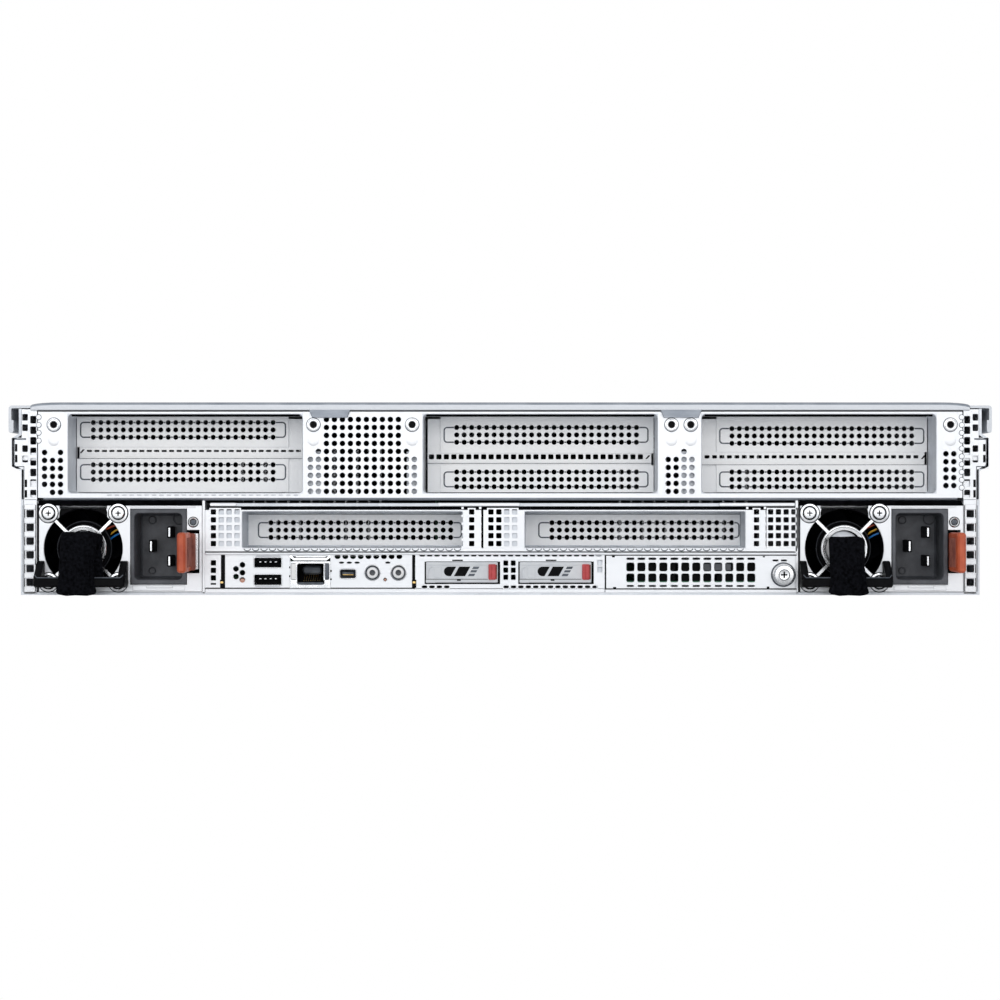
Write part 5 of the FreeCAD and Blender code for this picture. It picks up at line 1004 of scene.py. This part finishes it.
for sign in (-1, 1):
    def mirrored(table):
        # The same rows on this side of the machine: only their x spans turn over.
        return [(*sorted((sign * near, sign * far)), *rest) for near, far, *rest in table]

    for across, levels, (column, cell), rows, kept, hole, power in vents:
        flanges += panel(mirrored([across])[0], levels, plateDepth, (sign * column, cell, 1), rows, kept,
                         hole, power,
                         0.08)
    flanges += flats(0, rearY, *mirrored([(213.1, 216.2, 43.2, 58.6, 0, 1.2),
                                          (216.2, 220.6, 57.0, 71.0, 0, 1.2)]))
    for z in pan["ladderFirst"] + pan["ladderPitch"] * (np.arange(7) - 0.5):
        rungs += blocks(0, rearY, *mirrored([(pan["ladder"] - 2.5, pan["ladder"] + 2.5, -0.7, 0.1, z - 1.25,
                                              z + 1.25,
                                              0.25, 0.2)]))
    # dark and grey lines down both edges of the ladder's flange: painted shade
    for near, far in mirrored([(214.6, 215.05), (209.6, 210.0)]):
        dark.append(slats(near, far, 1.5, 40.5, (rearY - 0.05, rearY + 0.2)))
    shadowLines.append(slats(*mirrored([(215.6, 215.8)])[0], 1.5, 40.5, (rearY - 0.05, rearY + 0.2)))
    # short dark slots stamped in the bulge and the wall's end
    slotX, slotZ = sign * np.array([218.7, 218.7, 214.3, 214.3]), np.array([66.5, 61.6, 50.4, 45.7])
    # the slots are black bars: painted shade of their openings
    dark.append(slats(slotX - 0.55, slotX + 0.55, slotZ - 1.7, slotZ + 1.7, (rearY - 0.06, rearY + 0.1)))
    # shadow lines where the flange meets the bulge and the wall
    shadowLines += marks(0, rearY, *mirrored([
        (219.35, 219.65, 58.2, 70.4, 0.04), (215.0, 219.5, 57.8, 58.2, 0.04),
        (214.2, 219.4, 70.1, 70.8, 0.04),
        (215.0, 215.35, 43.2, 57.8, 0.04), (209.6, 214.8, 42.95, 43.15, 0.04)]))
    # brackets close behind the vents, seen as pale bars through them
    flanges += blocks(0, rearY, *mirrored([(209.8, 216.0, 1.6, 2.6, low, high, 0.2, 0.1) for low, high in
                                           ((60.8, 64.3), (48.0, 51.6), (43.3, 45.2))]))
    # supply bay: inner wall and roof
    body += blocks(0, rearY, *mirrored([
        (pan["bay"] - 1.2, pan["bay"], 0, pan["bayLength"], 0.6, pan["bayTop"], 0.2, 0.1),
        (pan["bay"] - 1.2, pan["body"] - 0.6, 6, pan["bayLength"], pan["bayRoof"], pan["bayTop"], 0.2, 0.1)]))
    for x, y in ((x, y) for x in (199, 99.5, 0) for y in (-145, -40, 75)):
        body.append(turned([(0, 0), (2.6, 0), (2.6, pan["standoffHigh"]), (0, pan["standoffHigh"])],
                           (sign * x, 0.9, y), 16, "z"))
# the pan's end faces are the darkened sheet: painted shade
makePiece("chassisPan", {"galvanisedSteel": body + flanges + rungs, "greySteelAndShade": ends,
                         "stampedLineAndPaintedLight": shadowLines,
                         "blackPlasticAndShade": dark}, "root", "zinc_steel", "chassis_pan")
print("chassis pan")

# Input and output panel: a plate pierced for the lights, sockets and buttons, with a row of half-round vents
# under the ledge of the slot frame.
ports = {"left": -124.3, "right": -39.8, "low": 3.3, "high": 18.2, "light": 2.5, "usbX": (-111.4, -98.6),
         "usbZ": ((4.2, 9.5), (12.1, 17.1)), "jack": (-94.8, -76.8, 3.3, 17.4),
         "port": (-72.7, -64.9, 7.2, 11.9),
         "buttonX": (-57.75, -46.0), "buttonZ": 10.05, "button": 6.8}
lights = ((-116.5, 13.6), (-119.4, 11.8), (-116.5, 10.05), (-119.4, 8.3), (-116.5, 6.8))
openings = [(x, z, ports["light"], ports["light"], 2) for x, z in lights]
openings += [(-105.0, (low + high) / 2, 12.8, high - low, 14) for low, high in ports["usbZ"]]
openings += [(-85.8, 10.35, 18.0, 14.1, 20), (-68.8, 9.55, 7.8, 4.7, 7)]
openings += [(x, ports["buttonZ"], ports["button"], ports["button"], 2) for x in ports["buttonX"]]
openings += [(-73.5 + 3.49 * i, 17.3, 2.6, 2.1, 2) for i in range(9)]
openings += [(x, 14.6, 2.3, 0.9, 2) for x in (-71.7, -68.2, -64.7, -50.8)] + [(-52.0, 6.95, 1.6, 1.6, 2)]
plate = piercedPlate((ports["left"], ports["right"]), (ports["low"], ports["high"]), plateDepth, openings)
plate += panel((-133.4, -126.2), (3.3, 18.2), plateDepth, (-129.6, 3.4, 1), (7.7, 3.4, 3), None, (2.4, 2.4),
               8, 0.05)
plate += blocks(0, rearY, (-133.3, 134.0, -0.9, 0.6, 18.1, 19.15, 0.4, 0.3),
                (-133.3, 47.2, -0.2, 0.8, 0.9, 2.8, 0.3, 0.2))
dark = flats(0, rearY, (-125.9, -124.5, 3.3, 18.1, 0.4, 0.9), (-39.7, -38.7, 3.3, 18.1, 0.4, 0.9),
             (-126.6, -124.6, 3.2, 6.9, -0.02, 0.3), (-39.9, -37.9, 3.2, 6.9, -0.02, 0.3),
             (-133.0, -38.9, 2.75, 3.3, 0.2, 0.9), (-134, -126.5, 4, 18, 6, 6.5))
dark += marks(0, rearY, (-130.8, -128.4, 4.6, 5.4, 0.05))
# bevelled seats round the buttons, and the contacts beside the panel
seats = [turned([(3.75, -0.02), (3.4, -0.2), (3.1, 0.4), (2.9, 1.3)], (x, rearY, ports["buttonZ"]), 40)
         for x in ports["buttonX"]]
contacts = blocks(0, rearY, *((x - 0.75, x + 0.75, -0.5, 0.3, 5.2, 6.2, 0.3, 0.15) for x in (-125.8, -38.9)))
lens = [turned([(1.2, 0.9), (1.1, 0.2), (0, 0)], (-116.5, rearY + 0.4, 6.3), 20),
        turned([(0.6, 0.6), (0.5, 0.1), (0, -0.05)], (-52.0, rearY + 0.2, 6.85), 20)]
makePiece("ioPanel", {"galvanisedSteel": plate, "blackPlasticAndShade": dark, "nickelPlate": seats,
                      "goldPlate": contacts,
                      "amberLens": lens}, "root", "zinc_steel", "io_panel")

shells, tongues = [], []
left, right = ports["usbX"]
for low, high in ports["usbZ"]:
    shells.append(socket((left, right), (low, high), 0.5, 0.35, rearY - 0.35, 15, 17))
    tongues += flats(0, rearY, (left + 0.4, right - 0.4, low + 0.4, high - 0.4, 9.8, 10.2))
    tongues += blocks(0, rearY, (left + 1.2, right - 1.2, 1.2, 12, high - 2.0, high - 1.0, 0.2, 0.2))
    shells += blocks(0, rearY, *((x - 0.5, x + 0.5, 1.4, 9, high - 2.45, high - 1.95, 0.15, 0.1)
                                 for x in left + 2.9 + 2.33 * np.arange(4)))
# pale strips under the lower port and over the upper one
strips = blocks(0, rearY, (-110.6, -99.4, -0.5, 1, 3.65, 4.35, 0.25, 0.15),
                (-110.4, -99.2, -0.45, 1, 17.15, 17.95, 0.3, 0.15))
makePiece("usbPorts", {"nickelPlate": shells, "blackPlasticAndShade": tongues, "greyAbs": strips},
          "root", "port_metal", "usb_ports")

# Network jack: a steel shell with light windows at both sides, a stepped opening and eight contact wires.
left, right, low, high = ports["jack"]
front = rearY - 0.4
shell = piercedPlate((left, right), (low, 15.2), (front, front + 0.8),
                     [(-85.6, 9.4, 12.4, 9.6, 12), (-93.4, 10.6, 2.2, 7.4, 9), (-78.4, 10.6, 2.2, 7.4, 9)])
shell.append(swept([[left, front - 0.1, 17.6], [left + 1.6, front - 0.5, 16.2],
                    [right - 1.6, front - 0.5, 16.2],
                    [right, front - 0.1, 17.6]], [[-0.5, -0.25], [0.5, -0.25], [0.5, 0.25], [-0.5, 0.25]],
                   up=(0, -1, 0)))
shell += blocks(0, front, (left + 2.4, right - 1.8, -0.2, 0.5, 16.9, 17.8, 0.3, 0.15))
inside = [socket((left + 3.0, right - 2.8), (low + 1.0, 14.6), 0.6, 0.25, front + 0.8, 15, 16)]
inside += blocks(0, front, (-87.6, -83.6, 0.1, 3, 13.9, 15.0, 0.3, 0.1))
inside += flats(0, front, (left + 0.5, right - 0.5, low + 0.3, 17.2, 17, 17.5))
inside += flats(0, rearY, (left - 0.6, left + 0.1, 12.0, 12.9, -0.03, 0.2),
                (left - 0.6, left + 0.1, 8.0, 8.9, -0.03, 0.2),
                (right - 0.1, right + 0.7, 10.4, 11.3, -0.03, 0.2),
                (right - 0.1, right + 0.7, 6.7, 7.5, -0.03, 0.2))
window = blocks(0, front, (-94.4, -92.3, 0.2, 2, 7.1, 14.2, 0.3, 0.1))
dim = blocks(0, front, (-79.4, -77.4, 0.3, 2, 7.1, 14.2, 0.3, 0.1),
             (-91.4, -79.8, 0.6, 3, 4.6, 5.7, 0.2, 0.1),
             (-90.0, -81.2, 9, 12, 9.0, 13.0, 1.6, 0.8))
wires = [swept([[x, front + 3.2, 6.4], [x, front + 7.5, 7.6], [x, front + 12, 9.4]], roundSection(0.2, 6),
               up=(1, 0, 0))
         for x in -88.9 + 1.02 * np.arange(8)]
makePiece("ethernetPort", {"nickelPlate": shell, "blackPlasticAndShade": inside, "milkyPolycarbonate": window,
                           "stampedLineAndPaintedLight": dim, "goldPlate": wires}, "root", "port_metal", "ethernet_port")

# Small display port: a rounded shell, the tongue in its dark opening and the row of contacts under it.
left, right, low, high = ports["port"]
shell = [socket((left, right), (low, high), 1.1, 0.4, rearY - 0.2, 10, 11)]
tongue = blocks(0, rearY, (left + 1.3, right - 1.3, 1.0, 9.8, 9.2, 10.3, 0.2, 0.15))
tongue += flats(0, rearY, (left + 0.4, right - 0.4, low + 0.4, high - 0.4, 9.6, 9.8))
pins = blocks(0, rearY, *((x - 0.15, x + 0.15, 1.0, 8, 8.9, 9.3, 0.05, 0.03)
                          for x in left + 1.7 + 0.44 * np.arange(11)))
makePiece("displayPort", {"nickelPlate": shell, "stampedLineAndPaintedLight": tongue, "goldPlate": pins},
          "root", "port_metal", "display_port")

# Two ring buttons: a milky ring round a dark grey centre on a sprung cap.
for name, x in zip(("identify", "reset"), ports["buttonX"]):
    centre = (x, rearY, ports["buttonZ"])
    cap = [turned([(0, 6), (2.6, 6), (2.6, 0.2), (2.35, 0.0), (0, 0)], centre, 40)]
    halo = [turned([(2.35, 0.0), (2.2, -0.35), (1.5, -0.45), (1.3, -0.2)], centre, 40)]
    middle = [turned([(1.3, -0.2), (1.15, -0.1), (0, -0.05)], centre, 32)]
    makePiece(name + "Button", {"greyAbs": cap, "milkyPolycarbonate": halo, "graphiteAbsAndHighlight": middle},
              name + "_button",
              "grey_plastic", name + "_button")
print("input and output panel")


# Boot drive cage: its plate has two bays, vents folded over both edges and small squares in the divider.
boot = {"left": -38.4, "right": 47.2, "low": 3.0, "high": 18.4, "bays": (-34.0, 8.3), "bayWidth": 33.8,
        "bayLow": 5.0,
        "bayHigh": 15.1, "length": 112, "wall": 0.8, "railLength": 106, "windowLeft": 9.5,
        "windowZ": (8.5, 12.8),
        "lean": 2.4, "latch": (28.7, 32.7)}
openings = [(bay + boot["bayWidth"] / 2, 10.05, boot["bayWidth"], boot["bayHigh"] - boot["bayLow"], 30)
            for bay in boot["bays"]]
openings += [(-35.2 + 3.32 * i, 18.0, 2.4, 1.2, 4) for i in range(25)]
openings += [(-34.2 + 3.35 * i, 3.65, 2.4, 1.2, 3) for i in range(24) if not 3 < i < 11]
openings += [(x, z, 2.1, 2.3, 8) for x in (2.5, 5.9) for z in (14.4, 11.2, 8.0)]
openings += [(45.0, z, 2.1, 2.3, 8) for z in (14.6, 11.5)]
plate = piercedPlate((boot["left"], boot["right"]), (boot["low"], boot["high"]), plateDepth, openings, 0.2,
                     28)
walls = blocks(0, rearY, *((*box, 0.2, 0.1) for box in (
    (boot["left"], boot["left"] + boot["wall"], 1, boot["length"], 1.4, 19.2),
    (boot["right"] - boot["wall"], boot["right"], 1, boot["length"], 1.4, 19.2),
    (boot["left"], boot["right"], 1, boot["length"], 18.5, 19.3),
    (boot["left"], boot["right"], 1, boot["length"], 1.3, 2.1), (43.4, 46.4, 1.4, 2, 2.2, 18.4))))
dark = []
low, high, wide = boot["bayLow"], boot["bayHigh"], boot["bayWidth"]
for bay in boot["bays"]:
    dark += marks(bay, rearY, (12.3, 17.1, 15.35, 15.95, 0.04))
    dark += flats(bay, rearY, (0.1, wide - 0.1, low + 0.1, high - 0.1, 3, 4))
    dark += marks(bay, rearY, (-0.15, 0.25, low, high, 0.03), (wide - 0.25, wide + 0.15, low, high, 0.03),
                  (0, wide, low - 0.1, low + 0.25, 0.03))
dark += marks(0, rearY, (47.3, 47.6, 2.9, 7.8, 0.03))
# the cage's walls are the darkened sheet: painted shade
makePiece("bootCage", {"galvanisedSteel": plate, "greySteelAndShade": walls, "blackPlasticAndShade": dark}, "root",
          "zinc_steel",
          "boot_drive_cage")

for side, bay in zip(("left", "right"), boot["bays"]):
    tray = blocks(bay, rearY, (0.5, 32.9, -0.5, 2.2, 5.6, 14.9, 0.5, 0.25),
                  (0.4, 5.0, -0.9, 1, 5.5, 7.0, 0.4, 0.25),
                  (0.9, 28.2, -0.75, -0.3, 13.4, 13.9, 0.15, 0.1),
                  (4.1, 7.5, -0.72, -0.3, 7.9, 12.6, 0.3, 0.15))
    tray.append(swept([[bay + 1.5, rearY - 0.6, 7.4], [bay + 1.2, rearY - 0.8, 9.5],
                       [bay + 1.7, rearY - 0.8, 12],
                       [bay + 3.4, rearY - 0.6, 12.9]], roundSection(0.3, 8), up=(0, -1, 0)))
    rails = blocks(bay, rearY, *((near, far, 2, boot["railLength"], 5.6, top, 0.2, 0.1) for near, far, top in
                                 ((0.6, 1.6, 12), (32.0, 33.0, 12), (1.4, 32.2, 6.6))))
    board = blocks(bay, rearY, (5.9, 27.9, 6, 86, 8.2, 9.8, 0.1, 0.05))
    black = blocks(bay, rearY, *((9.5, 24.5, start, start + 16, 9.8, 11.2, 0.2, 0.1) for start in (14, 36,
                                                                                                   58)))
    black += [slats([bay + near], [bay + far], [under], [over], (rearY - 0.56, rearY - 0.4))
              for near, far, under, over in ((0.6, 28.4, 7.0, 7.25), (14.5, 16.2, 6.4, 7.1))]
    # a window cut by two slanted bars: three leaning panes, the last one split across
    left, lean, (low, high) = bay + boot["windowLeft"], boot["lean"], boot["windowZ"]
    bend = np.linspace(math.pi / 2, 3 * math.pi / 2, 10)
    end = np.stack([left + 1.2 + 2.15 * np.cos(bend), (low + high) / 2 + 2.15 * np.sin(bend)], -1)
    for pane in (np.concatenate([end, [[left + 2.2, low], [left + 2.2 + lean, high]]]),
                 [(left + 3.6, low), (left + 8.6, low), (left + 8.6 + lean, high),
                  (left + 3.6 + lean, high)]):
        black.append(prism(pane, rearY - 0.62, rearY - 0.3, 0.1))
    split = []
    for under, over, begin in ((8.5, 9.6, 9.9), (10.2, 11.2, 10.9), (11.7, 12.8, 11.8)):
        near, shift = left + begin, (over - under) / (high - low) * lean
        split.append(prism([(near, under), (near + 2.7, under), (near + 2.7 + shift, over),
                            (near + shift, over)],
                           rearY - 0.62, rearY - 0.3, 0.08))
    # the rails are the darkened sheet: painted shade
    makePiece("bootDrive_" + side, {"greyAbs": tray, "blackPlasticAndShade": black, "stampedLineAndPaintedLight": split,
                                    "greySteelAndShade": rails, "solderMask": board},
              "boot_drive_" + side, "grey_plastic", "boot_drive_" + side)
    x0, x1 = boot["latch"]
    latch = blocks(bay, rearY, (x0, x1 - 0.7, -1.6, -0.52, 6.9, 13.9, 0.4, 0.3),
                   (x0 + 1.3, x1 - 0.8, -2.0, -1, 7.2, 13.6, 0.4, 0.3))
    shade = blocks(bay, rearY, (x1 - 0.8, x1 - 0.1, -1.0, -0.52, 7.1, 13.7, 0.2, 0.15))
    makePiece("bootLatch_" + side, {"redAbs": latch, "paintedShadeTerracotta": shade}, "boot_latch_" + side,
              "red_plastic",
              "boot_latch_" + side)
print("boot drives")

# Network card: a plate with two rows of large rounded vents, half rows above and below, its board and its
# heat sink.
card = {"left": 47.9, "right": 133.7, "low": 3.0, "high": 17.7, "first": 58.8, "pitch": 4.965, "columns": 12,
        "screw": (127.9, 9.2), "knurl": 4.5, "knurls": 40}
centres = card["first"] + card["pitch"] * np.arange(card["columns"])
openings = [(x, z, 3.6, 3.9, 5) for x in centres for z in (12.65, 7.7)]
openings += [(x, z, wide, tall, 4) for z, wide, tall in ((16.35, 3.4, 1.0),
                                                         (4.05, 3.2, 0.8)) for x in centres]
openings += [(x, 15.6, 2.6, 0.8, 4) for x in (124.4, 128.2)]
plate = piercedPlate((card["left"], card["right"]), (card["low"], card["high"]), plateDepth, openings, 0.2,
                     28)
plate += blocks(0, rearY, (card["left"], card["right"], 1.2, 8, 2.2, 3.0, 0.2, 0.1),
                (47.4, 134.0, -0.2, 0.8, 0.9, 2.5, 0.3, 0.2))
black = marks(0, rearY, (47.6, 134.0, 2.5, 2.9, 0.04), (47.6, 134.0, 17.75, 18.05, 0.03))
black += flats(0, rearY, (50.5, 51.8, 17.0, 17.7, -0.05, 0.1), (51.0, 52.4, 2.9, 3.6, -0.05, 0.1),
               (118.6, 119.6, 17.0, 17.6, -0.05, 0.1), (120.4, 121.6, 2.9, 3.8, -0.05, 0.1))
black += blocks(0, rearY, *((x, x + 17.5, 3, 20, 6.2, 15.2, 0.3, 0.2) for x in (62, 80, 98)))
board = blocks(0, rearY, (56, 121, 1, 108, 4.6, 6.2, 0.1, 0.05))
fins = blocks(0, rearY, (62, 118, 28, 86, 6.2, 8, 0.1, 0.05),
              *((x, x + 0.8, 28, 86, 8, 15, 0.1, 0.05) for x in np.linspace(62, 117.2, 20)))
jack = blocks(0, rearY, (91.5, 104.5, 2.2, 3.2, 10.9, 14.2, 0.4, 0.2))
makePiece("networkCard", {"galvanisedSteel": plate, "solderMask": board, "brushedAluminium": fins,
                          "inletPolyamide": jack, "blackPlasticAndShade": black}, "network_card", "zinc_steel",
                          "network_card")

# Its thumbscrew: a turned knob with a knurled rim and a driver's cross, on a plain stem over a dark washer.
screwX, screwZ = card["screw"]
centre = (screwX, rearY, screwZ)
knob = [turned([(0, 0), (4.9, -0.3), (4.9, -0.9), (4.5, -1.2), (4.5, -1.6), (4.45, -4.4), (4.1, -4.9),
                (2.6, -5.0),
                (2.3, -4.6), (2.1, -4.2), (0, -4.1)], centre, 48),
                turned([(0, 8), (1.6, 8), (1.7, -0.2), (0, -0.2)], centre, 24)]
for angle in ring(card["knurls"]):
    x, z = screwX + card["knurl"] * math.cos(angle), screwZ + card["knurl"] * math.sin(angle)
    knob.append(block((x - 0.12, x + 0.12), (rearY - 4.3, rearY - 1.7), (z - 0.12, z + 0.12), 0.05, 0.05,
                      steps=2))
washer = [turned([(5.6, -0.02), (5.5, -0.35), (5.0, -0.4), (4.9, -0.02)], centre, 48)]
recess = [crossRecess((screwX, screwZ), 1.5, 0.35, rearY - 4.2)]
makePiece("cardThumbscrew", {"nickelPlate": knob, "stampedLineAndPaintedLight": washer, "blackPlasticAndShade": recess},
          "card_thumbscrew",
          "port_metal", "card_thumbscrew")
print("network card")

# Top cover: crowned skin with hemmed skirts, a rolled rear lip with two hooks, and the dish for its lever.
cover = {"rear": -368.3, "front": 204.7, "crown": 199, "shoulder": 212, "side": 222.1, "top": 87,
         "shoulderTop": 85.6,
         "skirt": 73.2, "fold": 79, "hem": 2.2, "sheet": 1.2, "lipRear": -369.5, "lipLow": 83.4,
         "lipRadius": 1.2,
         "hooks": (-77, 81.7), "hookWide": 18.8, "hookSlant": 1.5, "hookLow": 80.1,
         "dish": (42, 136.7, 180.7),
         "dishFloor": 78.8, "bead": 0.25, "cornerRadius": 1.4, "hemRadius": 1.1}
edge, side, shoulder, shoulderTop, top, sheet, rear, front = (
    cover[key] for key in ("crown", "side", "shoulder", "shoulderTop", "top", "sheet", "rear", "front"))


def lying(part):
    # Turns what was drawn facing the viewer to face up: (x, y, z) becomes (x, z, -y).
    corners, quads = part
    return corners[:, [0, 2, 1]] * [1, 1, -1], quads


reach, dishRear, dishFront = cover["dish"]
dishLow = -cover["dishFloor"] - sheet
skin = [lying(flat(x, y, (-top, -top + sheet))) for x, y in (
    ((-edge, edge), (rear, dishRear - margin)), ((-edge, edge), (dishFront + margin, front)),
    ((-edge, -reach - margin), (dishRear - margin, dishFront + margin)),
    ((reach + margin, edge), (dishRear - margin, dishFront + margin)))]
skin.append(lying(windowSurround((-reach, reach), (dishRear, dishFront), -top, dishLow, sheet, 5)))
skin.append(lying(flat((-reach - sheet, reach + sheet), (dishRear - sheet, dishFront + sheet),
                       (dishLow, -cover["dishFloor"]))))
# the two sides: a quarter ellipse down from the crown, flat shoulder, round corner, skirt and its inward hem
slope = np.stack([edge + (shoulder - edge) * np.sin(arc), shoulderTop + (top - shoulderTop) * np.cos(arc)],
                 -1)
radius = cover["cornerRadius"]
corner = np.stack([side - radius + radius * np.sin(arc), shoulderTop - radius + radius * np.cos(arc)], -1)
radius = cover["hemRadius"]
foot = np.stack([side - radius + radius * np.cos(arc * 2),
                 cover["skirt"] + radius - radius * np.sin(arc * 2)], -1)
outerLine = np.concatenate([slope, corner, foot])
innerLine = np.array([[side - cover["hem"], cover["fold"]], [side - sheet, cover["fold"]],
                      [side - sheet, shoulderTop - sheet - 0.4], [side - sheet - 0.4, shoulderTop - sheet],
                      [shoulder, shoulderTop - sheet], [edge, top - sheet]])
# both ends are closed as strips: the outer line's points face as many points along the inner line
facing = np.stack([np.interp(np.linspace(0, 1, len(outerLine)), np.linspace(0, 1, 6), column)
                   for column in innerLine[::-1].T], -1)
for sign in (-1, 1):
    outer, inner, closing = (line * [sign, 1] for line in (outerLine, innerLine, facing))
    outline = np.concatenate([outer, inner])
    skin.append(surface(np.array([atDepth(outline, y) for y in (rear, front)]), wrap=True, flip=sign < 0))
    for y, turn in ((rear, sign > 0), (front, sign < 0)):
        skin.append(surface(np.array([atDepth(outer, y), atDepth(closing, y)]), flip=turn))
# rear lip: rolled over from the skin, straight down and hemmed; its ends follow the shoulders
x = np.concatenate([-slope[::-1, 0], slope[:, 0]])
crest = np.concatenate([slope[::-1, 1], slope[:, 1]])
roll, radius = np.linspace(0, math.pi / 2, 7), cover["lipRadius"]
depths = np.concatenate([[rear + 0.6], cover["lipRear"] + radius * (1 - np.sin(roll))])
drops = np.concatenate([[0], radius * (1 - np.cos(roll))])
split = len(depths)
rows = np.empty((len(x), split + 5, 3))
rows[..., 0] = x[:, None]
rows[..., 1] = [*depths, cover["lipRear"], cover["lipRear"] + 0.25, rear - 0.25, rear, rear + 0.6]
rows[:, :split, 2] = crest[:, None] - drops
rows[:, split:-1, 2] = [cover["lipLow"] + lift for lift in (0.25, 0, 0, 0.25)]
rows[:, -1, 2] = crest - sheet
rows = closedEnds(rows)
# the rolled lip and the hooks are the darkened zinc: painted shade
rolled = [surface(rows[:, :split])]
skin.append(surface(np.concatenate([rows[:, split - 1:], rows[:, :1]], 1)))
for hook in cover["hooks"]:
    half, low = cover["hookWide"] / 2, cover["lipLow"] + 0.4
    rolled.append(prism([(hook - half, low), (hook + half, low),
                         (hook + half - cover["hookSlant"], cover["hookLow"]),
                         (hook - half + cover["hookSlant"], cover["hookLow"])], cover["lipRear"] + 0.1, rear,
                         0.25))
# stiffening beads across the skin
for y in (-285, -150, -15, 100):
    skin.append(block((-190, 190), (y - 3, y + 3), (top - 0.4, top + cover["bead"]), 2.9, 0.25, axis="z"))
makePiece("topCover", {"rolledCoverSteel": skin, "paintedShadeZinc": rolled}, "cover", "cover_steel", "top_cover")

# A black sheet behind the front vents, a wide strip and a narrower one under the crown: painted shade
# that keeps the inside dark.
makePiece("interiorShadeSheet", {"paintedShadeBlack": blocks(0, 0, (-213, 213, 356.5, 359.5, 30.5, 84.35, 1, 0.4),
                                             (-205, 205, 356.5, 359.5, 83.35, 85.7, 0.4, 0.2))},
          "root", "black_plastic")
print("cover and filter")

# Light: a white surround for the eye and for reflections, a plain level on the object.
lightValues = {"surround": 0.55, "key": 9.2, "keyPlace": (-0.6, -2.3, 0.32), "fill": 8.2,
               "fillPlace": (0.6, -2.3, 0.26), "aim": (0, -0.35, 0.04), "lampSize": 1.4,
               "floorHalf": 6, "floorLevel": -0.0006}
world = bpy.data.worlds.new("studioSurround")
bpy.context.scene.world = world
world.use_nodes = True
tree = world.node_tree
surround = tree.nodes["Background"]
paths = addNode(tree, "ShaderNodeLightPath")
seen = addNode(tree, "ShaderNodeMath", {"operation": "MAXIMUM"})
tree.links.new(paths.outputs["Is Camera Ray"], seen.inputs[0])
tree.links.new(paths.outputs["Is Glossy Ray"], seen.inputs[1])
seenThrough = addNode(tree, "ShaderNodeMath", {"operation": "MAXIMUM"})
tree.links.new(seen.outputs[0], seenThrough.inputs[0])
tree.links.new(paths.outputs["Is Transmission Ray"], seenThrough.inputs[1])
strength = addNode(tree, "ShaderNodeMapRange", {"To Min": lightValues["surround"], "To Max": 1.0},
                   {"Value": seenThrough.outputs[0]})
surround.inputs["Color"].default_value = (1, 1, 1, 1)
tree.links.new(strength.outputs["Result"], surround.inputs["Strength"])


def softLamp(name, place, power):
    lamp = bpy.data.lights.new(name, "AREA")
    lamp.shape = "DISK"
    lamp.size = lightValues["lampSize"]
    lamp.energy = power
    holder = bpy.data.objects.new(name, lamp)
    holder.location = place
    back = np.array(place) - np.array(lightValues["aim"])
    holder.rotation_euler = Vector(back.tolist()).to_track_quat("Z", "Y").to_euler()
    bpy.context.scene.collection.objects.link(holder)


softLamp("keyLamp", lightValues["keyPlace"], lightValues["key"])
softLamp("fillLamp", lightValues["fillPlace"], lightValues["fill"])

# Floor: pale matt paint, white to the eye but for the object's shadow.
half, level = lightValues["floorHalf"], lightValues["floorLevel"]
floorPoints = np.array([[[-half, -half, level], [half, -half, level]],
                        [[-half, half, level], [half, half, level]]], float)
corners, quads = surface(floorPoints)
floorMesh = bpy.data.meshes.new("studioFloor")
floorMesh.from_pydata(corners.tolist(), [], quads.tolist())
floor = bpy.data.objects.new("studioFloor", floorMesh)
bpy.context.scene.collection.objects.link(floor)
floorPaint = bpy.data.materials.new("paleMattPaint")
floorPaint.use_nodes = True
tree = floorPaint.node_tree
tree.nodes.clear()
paths = addNode(tree, "ShaderNodeLightPath")
chalk = addNode(tree, "ShaderNodeBsdfDiffuse", {"Color": linear("#F4F5F6")})
glow = addNode(tree, "ShaderNodeEmission", {"Strength": 1.0})
both = addNode(tree, "ShaderNodeMixShader", {}, {"Fac": paths.outputs["Is Camera Ray"]})
tree.links.new(chalk.outputs[0], both.inputs[1])
tree.links.new(glow.outputs[0], both.inputs[2])
addNode(tree, "ShaderNodeOutputMaterial", {}, {"Surface": both.outputs[0]})
floorMesh.materials.append(floorPaint)
print("light and floor")
